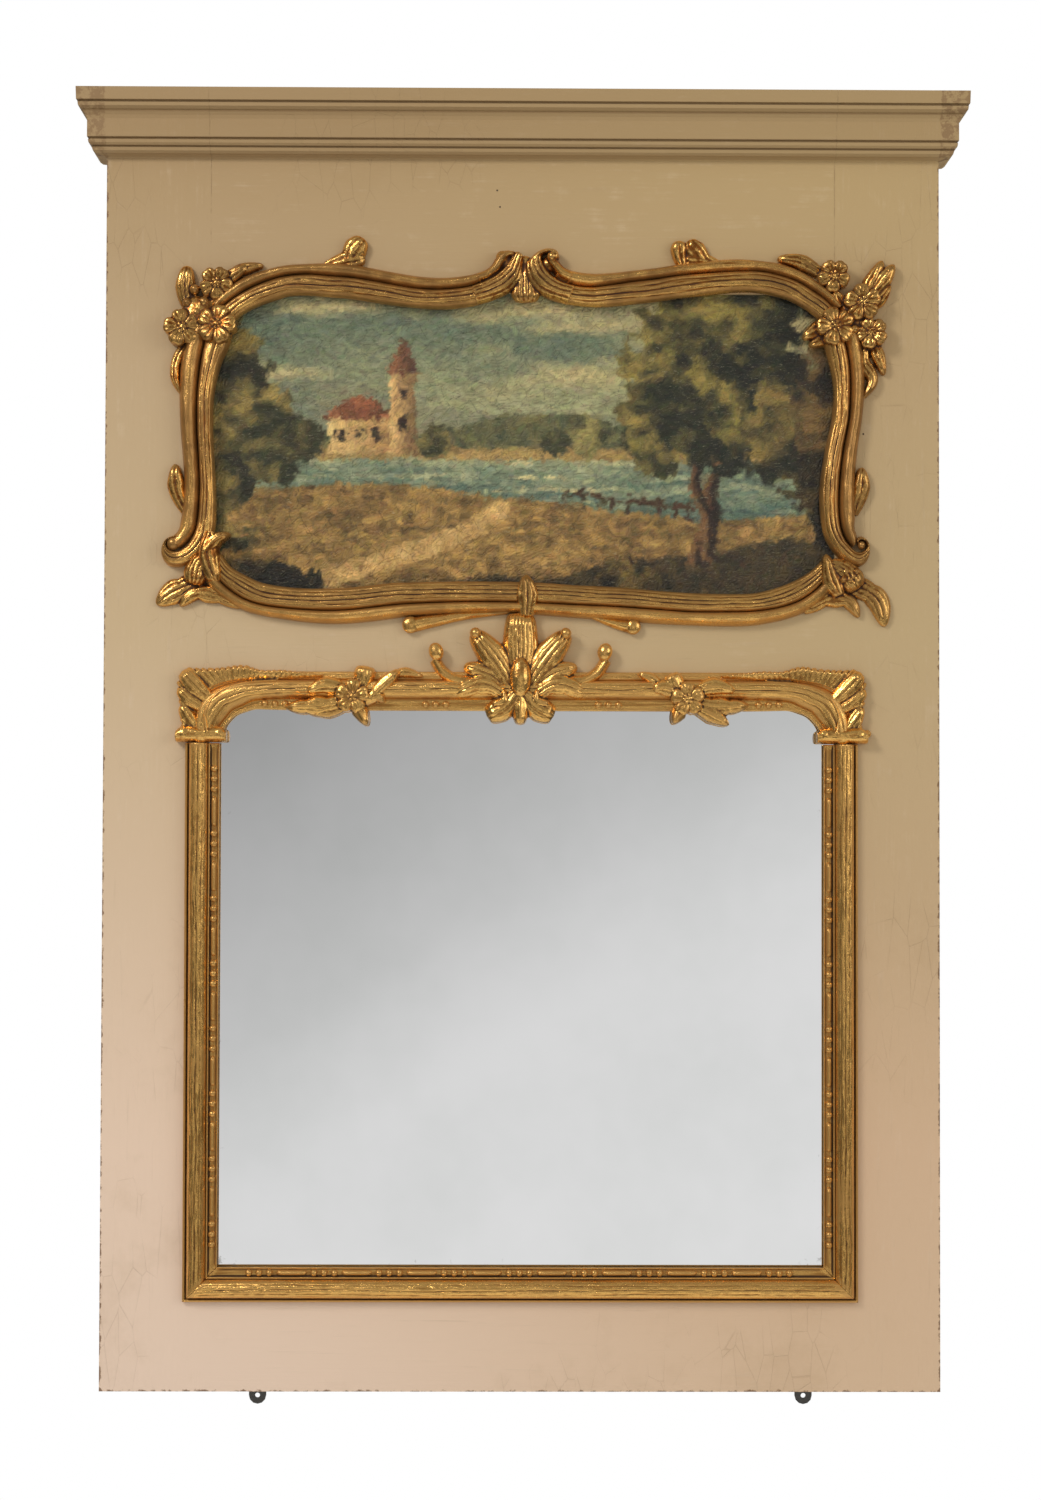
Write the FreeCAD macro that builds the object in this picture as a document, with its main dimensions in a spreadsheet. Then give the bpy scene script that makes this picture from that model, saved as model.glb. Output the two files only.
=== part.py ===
import FreeCAD, Part
import math
import os
import Sketcher

# Trumeau mirror: a painted pine panel with a moulded cornice, a carved and gilded rococo frame
# round a canvas above, and a gilded beaded moulding round a looking glass below.
#
# Frame of the model: +X to the viewer's right, +Z up, the wall is the plane Y = 0 and the front
# faces -Y.  The origin is midway between the two wall screws under the bottom edge.
# Heights in the sheet are measured from the bottom edge of the panel, sideways sizes from the
# panel's centre line and depths from the wall towards the viewer.

doc = FreeCAD.newDocument("trumeau_mirror")
sheet = doc.addObject("Spreadsheet::Sheet", "Sizes")

SIZES = [
    ("centre_line", -13, "panel centre line, from the middle between the wall screws"),
    ("panel_lift", 14, "panel bottom edge above the wall screws"),
    ("panel_width", 1004, ""),
    ("board_height", 1538, "stiles, up to the top board"),
    ("face_thickness", 24, "stiles and rails"),
    ("batten_thickness", 20, ""),
    ("batten_width", 45, ""),
    ("stile_width", 126, ""),
    ("bottom_rail_height", 134, ""),
    ("mirror_opening_height", 693, ""),
    ("middle_rail_height", 123, ""),
    ("picture_opening_height", 367, ""),
    ("lip_thickness", 6, "wood left in front of the rebates"),
    ("rebate_width", 12, ""),
    ("tenon_length", 60, ""),
    ("tenon_thickness", 8, ""),
    ("tenon_shoulder", 18, "above and below each tenon"),
    ("peg_width", 8, "square pegs through the tenons"),
    ("peg_inset", 20, "peg from the edge of its tenon"),
    ("joint_clearance", 0.2, "pegs, brads and screws in their holes"),
    ("top_board_thickness", 18, "closes the cornice above the stiles"),
    ("cornice_height", 78, ""),
    ("cornice_reach", 33, "fascia, out from the panel"),
    ("frieze_reach", 21, "plain band, out from the panel"),
    ("glass_thickness", 4, ""),
    ("glass_play", 3, "all round the glass and the stretcher"),
    ("back_board_thickness", 8, ""),
    ("back_board_lap", 22, "boards over the frame, past the opening"),
    ("brad_width", 2.4, "square cut brads"),
    ("brad_length", 18, ""),
    ("brad_inset", 40, "brad from the edge of its board"),
    ("canvas_thickness", 1.2, ""),
    ("stretcher_width", 42, ""),
    ("stretcher_thickness", 16, ""),
    ("tongue_length", 28, "stretcher joints"),
    ("tongue_thickness", 5, ""),
    ("canvas_turn", 12, "canvas folded back round the stretcher"),
    ("picture_moulding_width", 39, ""),
    ("picture_moulding_height", 18, ""),
    ("picture_sight_inset", 4, "moulding over the picture opening, at the sides"),
    ("crest_offset", 5, "crest right of the centre line"),
    ("crest_half_width", 22, "crest centre to each moulding"),
    ("mirror_moulding_width", 41, ""),
    ("mirror_moulding_height", 19, ""),
    ("mirror_sight_inset", 14, "moulding over the mirror opening"),
    ("sprig_inset", 159, "flower sprig from the side of the glass"),
    ("arch_rise", 40, "height of each rounded upper corner of the glass"),
    ("bead_radius", 4.2, ""),
    ("bead_height", 3.6, ""),
    ("bead_pitch", 10.3, ""),
    ("reel_length", 34, "bar between two groups of beads"),
    ("leaf_edge", 3, "thickness at the edge of a leaf"),
    ("plate_spacing", 660, "between the two wall screws"),
    ("plate_width", 20.8, ""),
    ("plate_thickness", 2, ""),
    ("plate_length", 54, ""),
    ("plate_hole_radius", 3, ""),
    ("plate_end", 10.4, "hole centre to the end of the tab"),
    ("hanger_drop", 288, "hinge of each hanging ring below the top of the stiles"),
    ("hanger_gap", 22, "between a side batten and its hanger strap"),
    ("strap_width", 20, ""),
    ("strap_length", 62, ""),
    ("strap_thickness", 2, ""),
    ("ring_bar_radius", 2, ""),
    ("ring_reach", 30, "hinge to the far side of the ring's gap"),
    ("ring_rim", 5, "width of the ring round its gap"),
    ("ring_thickness", 3.6, ""),
    ("ring_clearance", 0.1, "ring bar in its eye, all round"),
    ("screw_radius", 1.9, ""),
    ("screw_length", 16, ""),
]

for row, (alias, value, note) in enumerate(SIZES, start=1):
    sheet.set("A%d" % row, alias)
    sheet.set("B%d" % row, str(value))
    sheet.set("C%d" % row, note)
    sheet.setAlias("B%d" % row, alias)
doc.recompute()


def size(alias):
    """Value of one cell of the sheet."""
    return float(sheet.get(alias))


# Heights and depths that several pieces share, first as formulas for the bound objects.
MIRROR_LOW = "Sizes.bottom_rail_height"
MIRROR_TOP = "(Sizes.bottom_rail_height + Sizes.mirror_opening_height)"
PICTURE_LOW = "(Sizes.bottom_rail_height + Sizes.mirror_opening_height + Sizes.middle_rail_height)"
PICTURE_TOP = "(%s + Sizes.picture_opening_height)" % PICTURE_LOW
FACE = "(Sizes.batten_thickness + Sizes.face_thickness)"
OPENING_HALF = "(Sizes.panel_width / 2 - Sizes.stile_width)"
OPENING_WIDTH = "(Sizes.panel_width - 2 * Sizes.stile_width)"

# The same, as numbers for the carved pieces.
mirror_low = size("bottom_rail_height")
mirror_top = mirror_low + size("mirror_opening_height")
picture_low = mirror_top + size("middle_rail_height")
picture_top = picture_low + size("picture_opening_height")
face_depth = size("batten_thickness") + size("face_thickness")
opening_half = size("panel_width") / 2 - size("stile_width")
clearance = size("joint_clearance")
cornice_top = size("board_height") + size("top_board_thickness")


# ---------------------------------------------------------------- bound boards

def place(obj, right, depth, up):
    """Bind an object's place: right of the centre line, out from the wall, above the bottom."""
    obj.setExpression(".Placement.Base.x", "Sizes.centre_line + (%s)" % right)
    obj.setExpression(".Placement.Base.y", "-(%s)" % depth)
    obj.setExpression(".Placement.Base.z", "Sizes.panel_lift + (%s)" % up)


def origin_plane(body, role):
    """One of the body's own origin planes."""
    return [p for p in body.Origin.OriginFeatures if p.Role == role][0]


def rectangle_sketch(body, name, right, low, width, height, depth="0"):
    """Rectangle facing the viewer, with its sizes and depth bound to formulas."""
    sketch = body.newObject("Sketcher::SketchObject", name)
    sketch.AttachmentSupport = [(origin_plane(body, "XZ_Plane"), "")]
    sketch.MapMode = "FlatFace"
    sketch.setExpression(".AttachmentOffset.Base.z", depth)
    corners = [FreeCAD.Vector(0, 0), FreeCAD.Vector(9, 0), FreeCAD.Vector(9, 9), FreeCAD.Vector(0, 9)]
    for start, end in zip(corners, corners[1:] + corners[:1]):
        sketch.addGeometry(Part.LineSegment(start, end), False)
    for edge in range(4):
        sketch.addConstraint(Sketcher.Constraint("Coincident", edge, 2, (edge + 1) % 4, 1))
    for edge, kind in enumerate(["Horizontal", "Vertical", "Horizontal", "Vertical"]):
        sketch.addConstraint(Sketcher.Constraint(kind, edge))
    dimensions = [
        (Sketcher.Constraint("DistanceX", 0, 1, 0, 2, 9.0), width),
        (Sketcher.Constraint("DistanceY", 1, 1, 1, 2, 9.0), height),
        (Sketcher.Constraint("DistanceX", -1, 1, 0, 1, 1.0), right),
        (Sketcher.Constraint("DistanceY", -1, 1, 0, 1, 1.0), low),
    ]
    for constraint, formula in dimensions:
        index = sketch.addConstraint(constraint)
        sketch.setExpression("Constraints[%d]" % index, formula)
    return sketch


def board(name, width, height, thickness):
    """A body with one rectangular pad: its lower left back corner is the body's origin."""
    body = doc.addObject("PartDesign::Body", name)
    pad = body.newObject("PartDesign::Pad", name + "_blank")
    pad.Profile = rectangle_sketch(body, name + "_outline", "0", "0", width, height)
    pad.setExpression("Length", thickness)
    return body


def add_block(body, name, right, low, width, height, depth, thickness):
    """A further pad on a board, such as a tenon."""
    pad = body.newObject("PartDesign::Pad", name)
    pad.Profile = rectangle_sketch(body, name + "_outline", right, low, width, height, depth)
    pad.setExpression("Length", thickness)


def cut_block(body, name, right, low, width, height, depth, thickness):
    """A pocket into a board from the given depth towards the viewer."""
    pocket = body.newObject("PartDesign::Pocket", name)
    pocket.Profile = rectangle_sketch(body, name + "_outline", right, low, width, height, depth)
    pocket.Reversed = True
    pocket.setExpression("Length", thickness)


def square_hole(body, name, right, up, width, thickness):
    """Square hole from the back, centred on a pair of formulas."""
    cut_block(body, name, "%s - %s / 2" % (right, width), "%s - %s / 2" % (up, width),
              width, width, "0", thickness)


SCREW_SIDES = 6


def screw_holes(body, name, centres, radius, depth, thickness):
    """Six-sided pilot holes facing the viewer; each centre is a pair of formulas."""
    sketch = body.newObject("Sketcher::SketchObject", name + "_outline")
    sketch.AttachmentSupport = [(origin_plane(body, "XZ_Plane"), "")]
    sketch.MapMode = "FlatFace"
    sketch.setExpression(".AttachmentOffset.Base.z", depth)
    for number, centre in enumerate(centres):
        turns = [2 * math.pi * side / SCREW_SIDES for side in range(SCREW_SIDES)]
        corners = [FreeCAD.Vector(20 * number + 10 + math.cos(turn), 10 + math.sin(turn))
                   for turn in turns]
        first = SCREW_SIDES * number
        for start, end in zip(corners, corners[1:] + corners[:1]):
            sketch.addGeometry(Part.LineSegment(start, end), False)
        for side, turn in enumerate(turns):
            following = first + (side + 1) % SCREW_SIDES
            sketch.addConstraint(Sketcher.Constraint("Coincident", first + side, 2, following, 1))
            for kind, middle, share, start in (
                    ("DistanceX", centre[0], math.cos(turn), corners[side].x),
                    ("DistanceY", centre[1], math.sin(turn), corners[side].y)):
                index = sketch.addConstraint(
                    Sketcher.Constraint(kind, -1, 1, first + side, 1, start))
                formula = "%s + (%s) * %.5f" % (middle, radius, share)
                sketch.setExpression("Constraints[%d]" % index, formula)
    pocket = body.newObject("PartDesign::Pocket", name)
    pocket.Profile = sketch
    pocket.Reversed = True
    pocket.setExpression("Length", thickness)


TENON_DEPTH = "((Sizes.face_thickness - Sizes.tenon_thickness) / 2)"
REBATE_DEPTH = "(Sizes.face_thickness - Sizes.lip_thickness)"
RAILS = [
    ("bottom", "0", "Sizes.bottom_rail_height"),
    ("middle", MIRROR_TOP, "Sizes.middle_rail_height"),
    ("top", PICTURE_TOP, "(Sizes.board_height - %s)" % PICTURE_TOP),
]
BACK_BOARDS = 3
BACK_BOARD_HEIGHT = "((Sizes.mirror_opening_height + 2 * Sizes.back_board_lap) / %d)" % BACK_BOARDS
BRAD_HOLE = "(Sizes.brad_width + Sizes.joint_clearance)"
SCREW_HOLE = "Sizes.screw_radius + Sizes.joint_clearance / 2"
STRAP_SCREWS = (20, 48)
PLATE_SCREWS = (9, 21)
OPENINGS = [
    ("mirror", MIRROR_LOW, "Sizes.mirror_opening_height"),
    ("picture", PICTURE_LOW, "Sizes.picture_opening_height"),
]


def peg_heights(low, height):
    """Formulas for the two pegs of a rail, above the bottom edge of the panel."""
    inset = "Sizes.tenon_shoulder + Sizes.peg_inset"
    return ["%s + %s" % (low, inset), "%s + %s - %s" % (low, height, inset.replace("+", "-"))]


def brad_heights():
    """Formulas for the brads of the back boards, above the bottom edge of the panel."""
    heights = []
    for number in range(BACK_BOARDS):
        low = "%s - Sizes.back_board_lap + %d * %s" % (MIRROR_LOW, number, BACK_BOARD_HEIGHT)
        heights += [low + " + Sizes.brad_inset", low + " + %s - Sizes.brad_inset" % BACK_BOARD_HEIGHT]
    return heights


def make_stile(name, left_side):
    """Upright board with three mortises, two rebates and the holes of its pegs and fixings."""
    stile = board(name, "Sizes.stile_width", "Sizes.board_height", "Sizes.face_thickness")
    mortise_at = "Sizes.stile_width - Sizes.tenon_length" if left_side else "0"
    rebate_at = "Sizes.stile_width - Sizes.rebate_width" if left_side else "0"
    for rail, low, height in RAILS:
        cut_block(stile, "%s_%s_mortise" % (name, rail), mortise_at,
                  low + " + Sizes.tenon_shoulder", "Sizes.tenon_length",
                  height + " - 2 * Sizes.tenon_shoulder", TENON_DEPTH, "Sizes.tenon_thickness")
    for opening, low, height in OPENINGS:
        cut_block(stile, "%s_%s_rebate" % (name, opening), rebate_at,
                  low + " - Sizes.rebate_width", "Sizes.rebate_width",
                  height + " + 2 * Sizes.rebate_width", "0", REBATE_DEPTH)
    pegs_at = "Sizes.stile_width - Sizes.tenon_length / 2" if left_side else "Sizes.tenon_length / 2"
    for rail, low, height in RAILS:
        for number, up in enumerate(peg_heights(low, height)):
            square_hole(stile, "%s_%s_peg_hole_%d" % (name, rail, number), pegs_at, up,
                        "Sizes.peg_width", REBATE_DEPTH)
    brads_at = "Sizes.rebate_width + (Sizes.back_board_lap - Sizes.rebate_width) / 2"
    if left_side:
        brads_at = "Sizes.stile_width - (%s)" % brads_at
    for number, up in enumerate(brad_heights()):
        square_hole(stile, "%s_brad_hole_%d" % (name, number), brads_at, up, BRAD_HOLE,
                    "Sizes.brad_length - Sizes.back_board_thickness")
    hanger_at = "Sizes.batten_width + Sizes.hanger_gap + Sizes.strap_width / 2"
    if not left_side:
        hanger_at = "Sizes.stile_width - (%s)" % hanger_at
    screw_holes(stile, name + "_hanger_holes",
                [(hanger_at, "Sizes.board_height - Sizes.hanger_drop + %d" % up)
                 for up in STRAP_SCREWS],
                SCREW_HOLE, "0", "Sizes.screw_length - Sizes.strap_thickness")
    place(stile, "-Sizes.panel_width / 2" if left_side else OPENING_HALF,
          "Sizes.batten_thickness", "0")
    return stile


def make_rail(rail, low, height):
    """Cross board with a tenon at each end and a rebate along each opening."""
    name = rail + "_rail"
    body = board(name, OPENING_WIDTH, height, "Sizes.face_thickness")
    for side, right in (("left", "-Sizes.tenon_length"), ("right", OPENING_WIDTH)):
        add_block(body, "%s_%s_tenon" % (name, side), right, "Sizes.tenon_shoulder",
                  "Sizes.tenon_length", height + " - 2 * Sizes.tenon_shoulder",
                  TENON_DEPTH, "Sizes.tenon_thickness")
    for side, right in (("left", "-Sizes.tenon_length / 2"),
                        ("right", OPENING_WIDTH + " + Sizes.tenon_length / 2")):
        for number, up in enumerate(peg_heights("0", height)):
            square_hole(body, "%s_%s_peg_hole_%d" % (name, side, number), right, up,
                        "Sizes.peg_width", "Sizes.face_thickness")
    if rail != "bottom":
        cut_block(body, name + "_lower_rebate", "0", "0", OPENING_WIDTH, "Sizes.rebate_width",
                  "0", REBATE_DEPTH)
    if rail != "top":
        cut_block(body, name + "_upper_rebate", "0", height + " - Sizes.rebate_width",
                  OPENING_WIDTH, "Sizes.rebate_width", "0", REBATE_DEPTH)
    place(body, "-" + OPENING_HALF, "Sizes.batten_thickness", low)
    return body


def make_batten(name, right, low, width, height):
    """Board behind the edge of the panel, against the wall."""
    batten = board(name, width, height, "Sizes.batten_thickness")
    place(batten, right, "0", low)
    return batten


nodes = []
nodes.append(make_stile("left_stile", True))
nodes.append(make_stile("right_stile", False))
for rail_name, rail_low, rail_height in RAILS:
    nodes.append(make_rail(rail_name, rail_low, rail_height))
nodes.append(make_batten("batten_left", "-Sizes.panel_width / 2", "0",
                         "Sizes.batten_width", "Sizes.board_height"))
nodes.append(make_batten("batten_right", "Sizes.panel_width / 2 - Sizes.batten_width", "0",
                         "Sizes.batten_width", "Sizes.board_height"))
BETWEEN = "(Sizes.panel_width - 2 * Sizes.batten_width)"
nodes.append(make_batten("batten_top", "-%s / 2" % BETWEEN,
                         "Sizes.board_height - Sizes.batten_width",
                         BETWEEN, "Sizes.batten_width"))
batten_bottom = make_batten("batten_bottom", "-%s / 2" % BETWEEN, "0",
                            BETWEEN, "Sizes.batten_width")
PLATE_CENTRES = ["%s / 2 - Sizes.centre_line %s Sizes.plate_spacing / 2" % (BETWEEN, sign)
                 for sign in ("-", "+")]
for side, centre in zip(("left", "right"), PLATE_CENTRES):
    cut_block(batten_bottom, "%s_plate_recess" % side, centre + " - Sizes.plate_width / 2", "0",
              "Sizes.plate_width", "Sizes.plate_length - Sizes.plate_end - Sizes.panel_lift",
              "0", "Sizes.plate_thickness")
screw_holes(batten_bottom, "plate_screw_holes",
            [(centre, "%d" % up) for centre in PLATE_CENTRES for up in PLATE_SCREWS],
            SCREW_HOLE, "0", "Sizes.screw_length")
nodes.append(batten_bottom)


# ---------------------------------------------------------------- glass, back boards, canvas

def bound_box(name, width, thickness, height, right, depth, up):
    """Plain board or sheet; depth is that of its front face."""
    box = doc.addObject("Part::Box", name)
    for side, formula in (("Length", width), ("Width", thickness), ("Height", height)):
        box.setExpression(side, formula)
    place(box, right, depth, up)
    return box


REACH = "(%s + Sizes.rebate_width - Sizes.glass_play)" % OPENING_HALF
PLAY = "(Sizes.rebate_width - Sizes.glass_play)"
BEHIND_LIP = "(%s - Sizes.lip_thickness)" % FACE
nodes.append(bound_box("mirror_glass", "2 * " + REACH, "Sizes.glass_thickness",
                       "Sizes.mirror_opening_height + 2 * " + PLAY, "-" + REACH, BEHIND_LIP,
                       MIRROR_LOW + " - " + PLAY))
BOARD_HALF = "(%s + Sizes.back_board_lap)" % OPENING_HALF
for number, board_name in enumerate(("lower", "middle", "upper")):
    body = board("back_board_" + board_name, "2 * " + BOARD_HALF, BACK_BOARD_HEIGHT,
                 "Sizes.back_board_thickness")
    edge = "(Sizes.back_board_lap - Sizes.rebate_width) / 2"
    corners = [(right, up) for right in (edge, "2 * %s - %s" % (BOARD_HALF, edge))
               for up in ("Sizes.brad_inset", BACK_BOARD_HEIGHT + " - Sizes.brad_inset")]
    for hole, (right, up) in enumerate(corners):
        square_hole(body, "%s_brad_hole_%d" % (body.Name, hole), right, up, BRAD_HOLE,
                    "Sizes.back_board_thickness")
    place(body, "-" + BOARD_HALF, "Sizes.batten_thickness - Sizes.back_board_thickness",
          "%s - Sizes.back_board_lap + %d * %s" % (MIRROR_LOW, number, BACK_BOARD_HEIGHT))
    nodes.append(body)

CANVAS_HEIGHT = "(Sizes.picture_opening_height + 2 * %s)" % PLAY
CANVAS_LOW = "(%s - %s)" % (PICTURE_LOW, PLAY)
SKIN = "Sizes.canvas_thickness"
canvas_sheet = bound_box("canvas_sheet", "2 * " + REACH, "Sizes.canvas_turn + " + SKIN,
                         CANVAS_HEIGHT, "-" + REACH, BEHIND_LIP, CANVAS_LOW)
canvas_hollow = bound_box("canvas_hollow", "2 * (%s - %s)" % (REACH, SKIN), "Sizes.canvas_turn",
                          "%s - 2 * %s" % (CANVAS_HEIGHT, SKIN), "-(%s - %s)" % (REACH, SKIN),
                          "%s - %s" % (BEHIND_LIP, SKIN), "%s + %s" % (CANVAS_LOW, SKIN))
picture_canvas = doc.addObject("Part::Cut", "picture_canvas")
picture_canvas.Base = canvas_sheet
picture_canvas.Tool = canvas_hollow
nodes.append(picture_canvas)

STRETCHER_BACK = "(%s - %s - Sizes.stretcher_thickness)" % (BEHIND_LIP, SKIN)
STRETCHER_HALF = "(%s - %s)" % (REACH, SKIN)
STRETCHER_LOW = "(%s + %s)" % (CANVAS_LOW, SKIN)
STRETCHER_HEIGHT = "(%s - 2 * %s)" % (CANVAS_HEIGHT, SKIN)
BAR = "Sizes.stretcher_width"
TONGUE_AT = "((Sizes.stretcher_thickness - Sizes.tongue_thickness) / 2)"
TONGUE_EDGE = "(%s / 6)" % BAR
TONGUE_WIDE = "(%s * 2 / 3)" % BAR


def make_stretcher():
    """Five bars behind the canvas, joined by tongues, the middle one upright."""
    for name, slot_at, right in (
            ("stretcher_left", BAR + " - Sizes.tongue_length", "-" + STRETCHER_HALF),
            ("stretcher_right", "0", "%s - %s" % (STRETCHER_HALF, BAR))):
        body = board(name, BAR, STRETCHER_HEIGHT, "Sizes.stretcher_thickness")
        for end, low in (("lower", TONGUE_EDGE),
                         ("upper", "%s - %s - %s" % (STRETCHER_HEIGHT, TONGUE_EDGE, TONGUE_WIDE))):
            cut_block(body, "%s_%s_slot" % (name, end), slot_at, low, "Sizes.tongue_length",
                      TONGUE_WIDE, TONGUE_AT, "Sizes.tongue_thickness")
        place(body, right, STRETCHER_BACK, STRETCHER_LOW)
        nodes.append(body)
    span = "(2 * %s - 2 * %s)" % (STRETCHER_HALF, BAR)
    for name, low, slot_low in (
            ("stretcher_bottom", STRETCHER_LOW, BAR + " - Sizes.tongue_length"),
            ("stretcher_top", "%s + %s - %s" % (STRETCHER_LOW, STRETCHER_HEIGHT, BAR), "0")):
        body = board(name, span, BAR, "Sizes.stretcher_thickness")
        for side, right in (("left", "-Sizes.tongue_length"), ("right", span)):
            add_block(body, "%s_%s_tongue" % (name, side), right, TONGUE_EDGE,
                      "Sizes.tongue_length", TONGUE_WIDE, TONGUE_AT, "Sizes.tongue_thickness")
        cut_block(body, name + "_slot", "%s / 2 - %s / 2" % (span, TONGUE_WIDE), slot_low,
                  TONGUE_WIDE, "Sizes.tongue_length", TONGUE_AT, "Sizes.tongue_thickness")
        place(body, "-%s / 2" % span, STRETCHER_BACK, low)
        nodes.append(body)
    rise = "(%s - 2 * %s)" % (STRETCHER_HEIGHT, BAR)
    body = board("stretcher_cross_bar", BAR, rise, "Sizes.stretcher_thickness")
    for end, low in (("lower", "-Sizes.tongue_length"), ("upper", rise)):
        add_block(body, "cross_bar_%s_tongue" % end, TONGUE_EDGE, low, TONGUE_WIDE,
                  "Sizes.tongue_length", TONGUE_AT, "Sizes.tongue_thickness")
    place(body, "-%s / 2" % BAR, STRETCHER_BACK, "%s + %s" % (STRETCHER_LOW, BAR))
    nodes.append(body)


make_stretcher()


# ---------------------------------------------------------------- carving tools

def point(right, depth, up):
    """A place on the panel: right of the centre line, out from the wall, above the bottom."""
    return FreeCAD.Vector(right, -depth, up)


def feature(name, shape):
    """A sub-part whose shape is carved by the functions below."""
    obj = doc.addObject("Part::Feature", name)
    obj.Shape = shape
    obj.Placement = FreeCAD.Placement(
        FreeCAD.Vector(size("centre_line"), 0, size("panel_lift")), FreeCAD.Rotation())
    nodes.append(obj)
    return obj


def polygon_face(points):
    return Part.Face(Part.makePolygon(points + points[:1]))


def facet_solid(rings, ridged=False):
    """Solid skinned with flat facets through rings of as many points each.

    The first ring is capped, and so is the last unless it folds onto a ridge.
    """
    faces = [polygon_face(rings[0])]
    for lower, upper in zip(rings, rings[1:]):
        count = len(lower)
        for i in range(count):
            j = (i + 1) % count
            a, b, c, d = lower[i], lower[j], upper[j], upper[i]
            flat = abs((b - a).cross(c - a).dot(d - a)) < 1e-6
            whole = min((b - a).Length, (c - b).Length, (d - c).Length, (a - d).Length) > 1e-6
            if flat and whole:
                faces.append(polygon_face([a, b, c, d]))
                continue
            for corners in ((a, b, c), (a, c, d)):
                if (corners[1] - corners[0]).cross(corners[2] - corners[0]).Length > 1e-6:
                    faces.append(polygon_face(list(corners)))
    if not ridged:
        faces.append(polygon_face(rings[-1]))
    solid = Part.Solid(Part.Shell(faces))
    if solid.Volume < 0:
        solid.reverse()
    return solid


def along(start, end, share, bow=0):
    """Point on a line that bows sideways, to its left, by the given amount in the middle."""
    run = (end[0] - start[0], end[1] - start[1])
    length = math.hypot(*run)
    side = 4 * bow * share * (1 - share) / length
    return (start[0] + run[0] * share - run[1] * side, start[1] + run[1] * share + run[0] * side)


LEAF_STATIONS = 4


def leaf(root, tip, width, rise, bow=0, edge=None, lobes=0, swell=0.8):
    """Carved leaf from root to tip: a pointed outline, a thin edge and a raised midrib."""
    edge = size("leaf_edge") if edge is None else edge
    run = (tip[0] - root[0], tip[1] - root[1])
    length = math.hypot(*run)
    across = (-run[1] / length, run[0] / length)
    left, right, middle = [], [], []
    for station in range(1, LEAF_STATIONS):
        share = station / LEAF_STATIONS
        spread = width / 2 * math.sin(math.pi * share ** swell)
        spread *= 1 + 0.22 * lobes * math.cos(math.pi * station)
        centre = along(root, tip, share, bow)
        left.append((centre[0] + across[0] * spread, centre[1] + across[1] * spread))
        right.append((centre[0] - across[0] * spread, centre[1] - across[1] * spread))
        crown = edge + (rise - edge) * math.sin(math.pi * (0.25 + 0.65 * share))
        middle.append((centre[0], centre[1], crown))
    outline = [root] + right + [tip] + left[::-1]
    ridge = [(root[0], root[1], edge)] + middle + [(tip[0], tip[1], edge)] + middle[::-1]
    return facet_solid([
        [point(x, face_depth, z) for x, z in outline],
        [point(x, face_depth + edge, z) for x, z in outline],
        [point(x, face_depth + crown, z) for x, z, crown in ridge],
    ], ridged=True)


KNOB_SIDES = 8


def knob(centre, radius, height, low=0, narrow=0.5, sides=KNOB_SIDES):
    """Rounded knob such as a pearl, a berry or the heart of a flower, seen from the front."""
    rings = []
    for share, reach in ((0, 1), (1, narrow)):
        ring = []
        for side in range(sides):
            turn = 2 * math.pi * (side + 0.5) / sides
            ring.append(point(centre[0] + reach * radius * math.cos(turn),
                              face_depth + low + (height - low) * share,
                              centre[1] + reach * radius * math.sin(turn)))
        rings.append(ring)
    return facet_solid(rings)


PETALS = 5
PETAL_POINTS = ((-0.5, 0.6), (0, 1))


def flower(centre, radius, height, turn=90):
    """Open five-petalled flower: cupped petals that rise to their rims round a domed heart."""
    rings = []
    heart = radius * 0.3
    for out, inner, outer in ((0, 0, 1), (height - 4, 0, 0.95),
                              (height - 8, heart * 1.1, 0), (height, heart * 0.7, 0)):
        ring = []
        for petal in range(PETALS):
            for aside, reach in PETAL_POINTS:
                angle = math.radians(turn + (petal + aside) * 360 / PETALS)
                away = inner + outer * reach * radius
                ring.append(point(centre[0] + away * math.cos(angle), face_depth + out,
                                  centre[1] + away * math.sin(angle)))
        rings.append(ring)
    return [facet_solid(rings)]


def fused(shapes):
    return shapes[0].multiFuse(shapes[1:]) if len(shapes) > 1 else shapes[0]


FACET_SAG = 0.4


def travel(heading, moves):
    """How far to the right and up a run of moves leads."""
    right, up = 0, 0
    for kind, length, *turn in moves:
        angle = math.radians(heading)
        if kind == "line":
            right += length * math.cos(angle)
            up += length * math.sin(angle)
            continue
        heading += turn[0]
        side = math.copysign(length, turn[0])
        right += side * (math.sin(math.radians(heading)) - math.sin(angle))
        up += side * (math.cos(angle) - math.cos(math.radians(heading)))
    return right, up


def carved_run(profile, start, heading, moves):
    """Moulding that follows straight runs and tangent arcs on the panel face, cut in facets.

    The profile is a list of (across, out) points, across to the left of the heading; a move is
    ("line", length) or ("arc", radius, turn), a positive turn going to the left.
    """
    stations = [(start[0], start[1], heading)]
    for move in moves:
        right, up, heading = stations[-1]
        if move[0] == "line":
            ahead = travel(heading, [move])
            stations.append((right + ahead[0], up + ahead[1], heading))
            continue
        radius, turn = move[1:]
        facet_turn = math.degrees(2 * math.acos(1 - FACET_SAG / radius))
        steps = math.ceil(abs(turn) / facet_turn)
        for step in range(1, steps + 1):
            ahead = travel(heading, [("arc", radius, turn * step / steps)])
            stations.append((right + ahead[0], up + ahead[1], heading + turn * step / steps))
    rings = []
    for right, up, heading in stations:
        left = (-math.sin(math.radians(heading)), math.cos(math.radians(heading)))
        rings.append([point(right + left[0] * across, face_depth + out, up + left[1] * across)
                      for across, out in profile])
    return facet_solid(rings)


def mirrored(shape, right=0):
    """The same piece on the other side of an upright line."""
    return shape.mirror(FreeCAD.Vector(right, 0, 0), FreeCAD.Vector(1, 0, 0))


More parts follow.
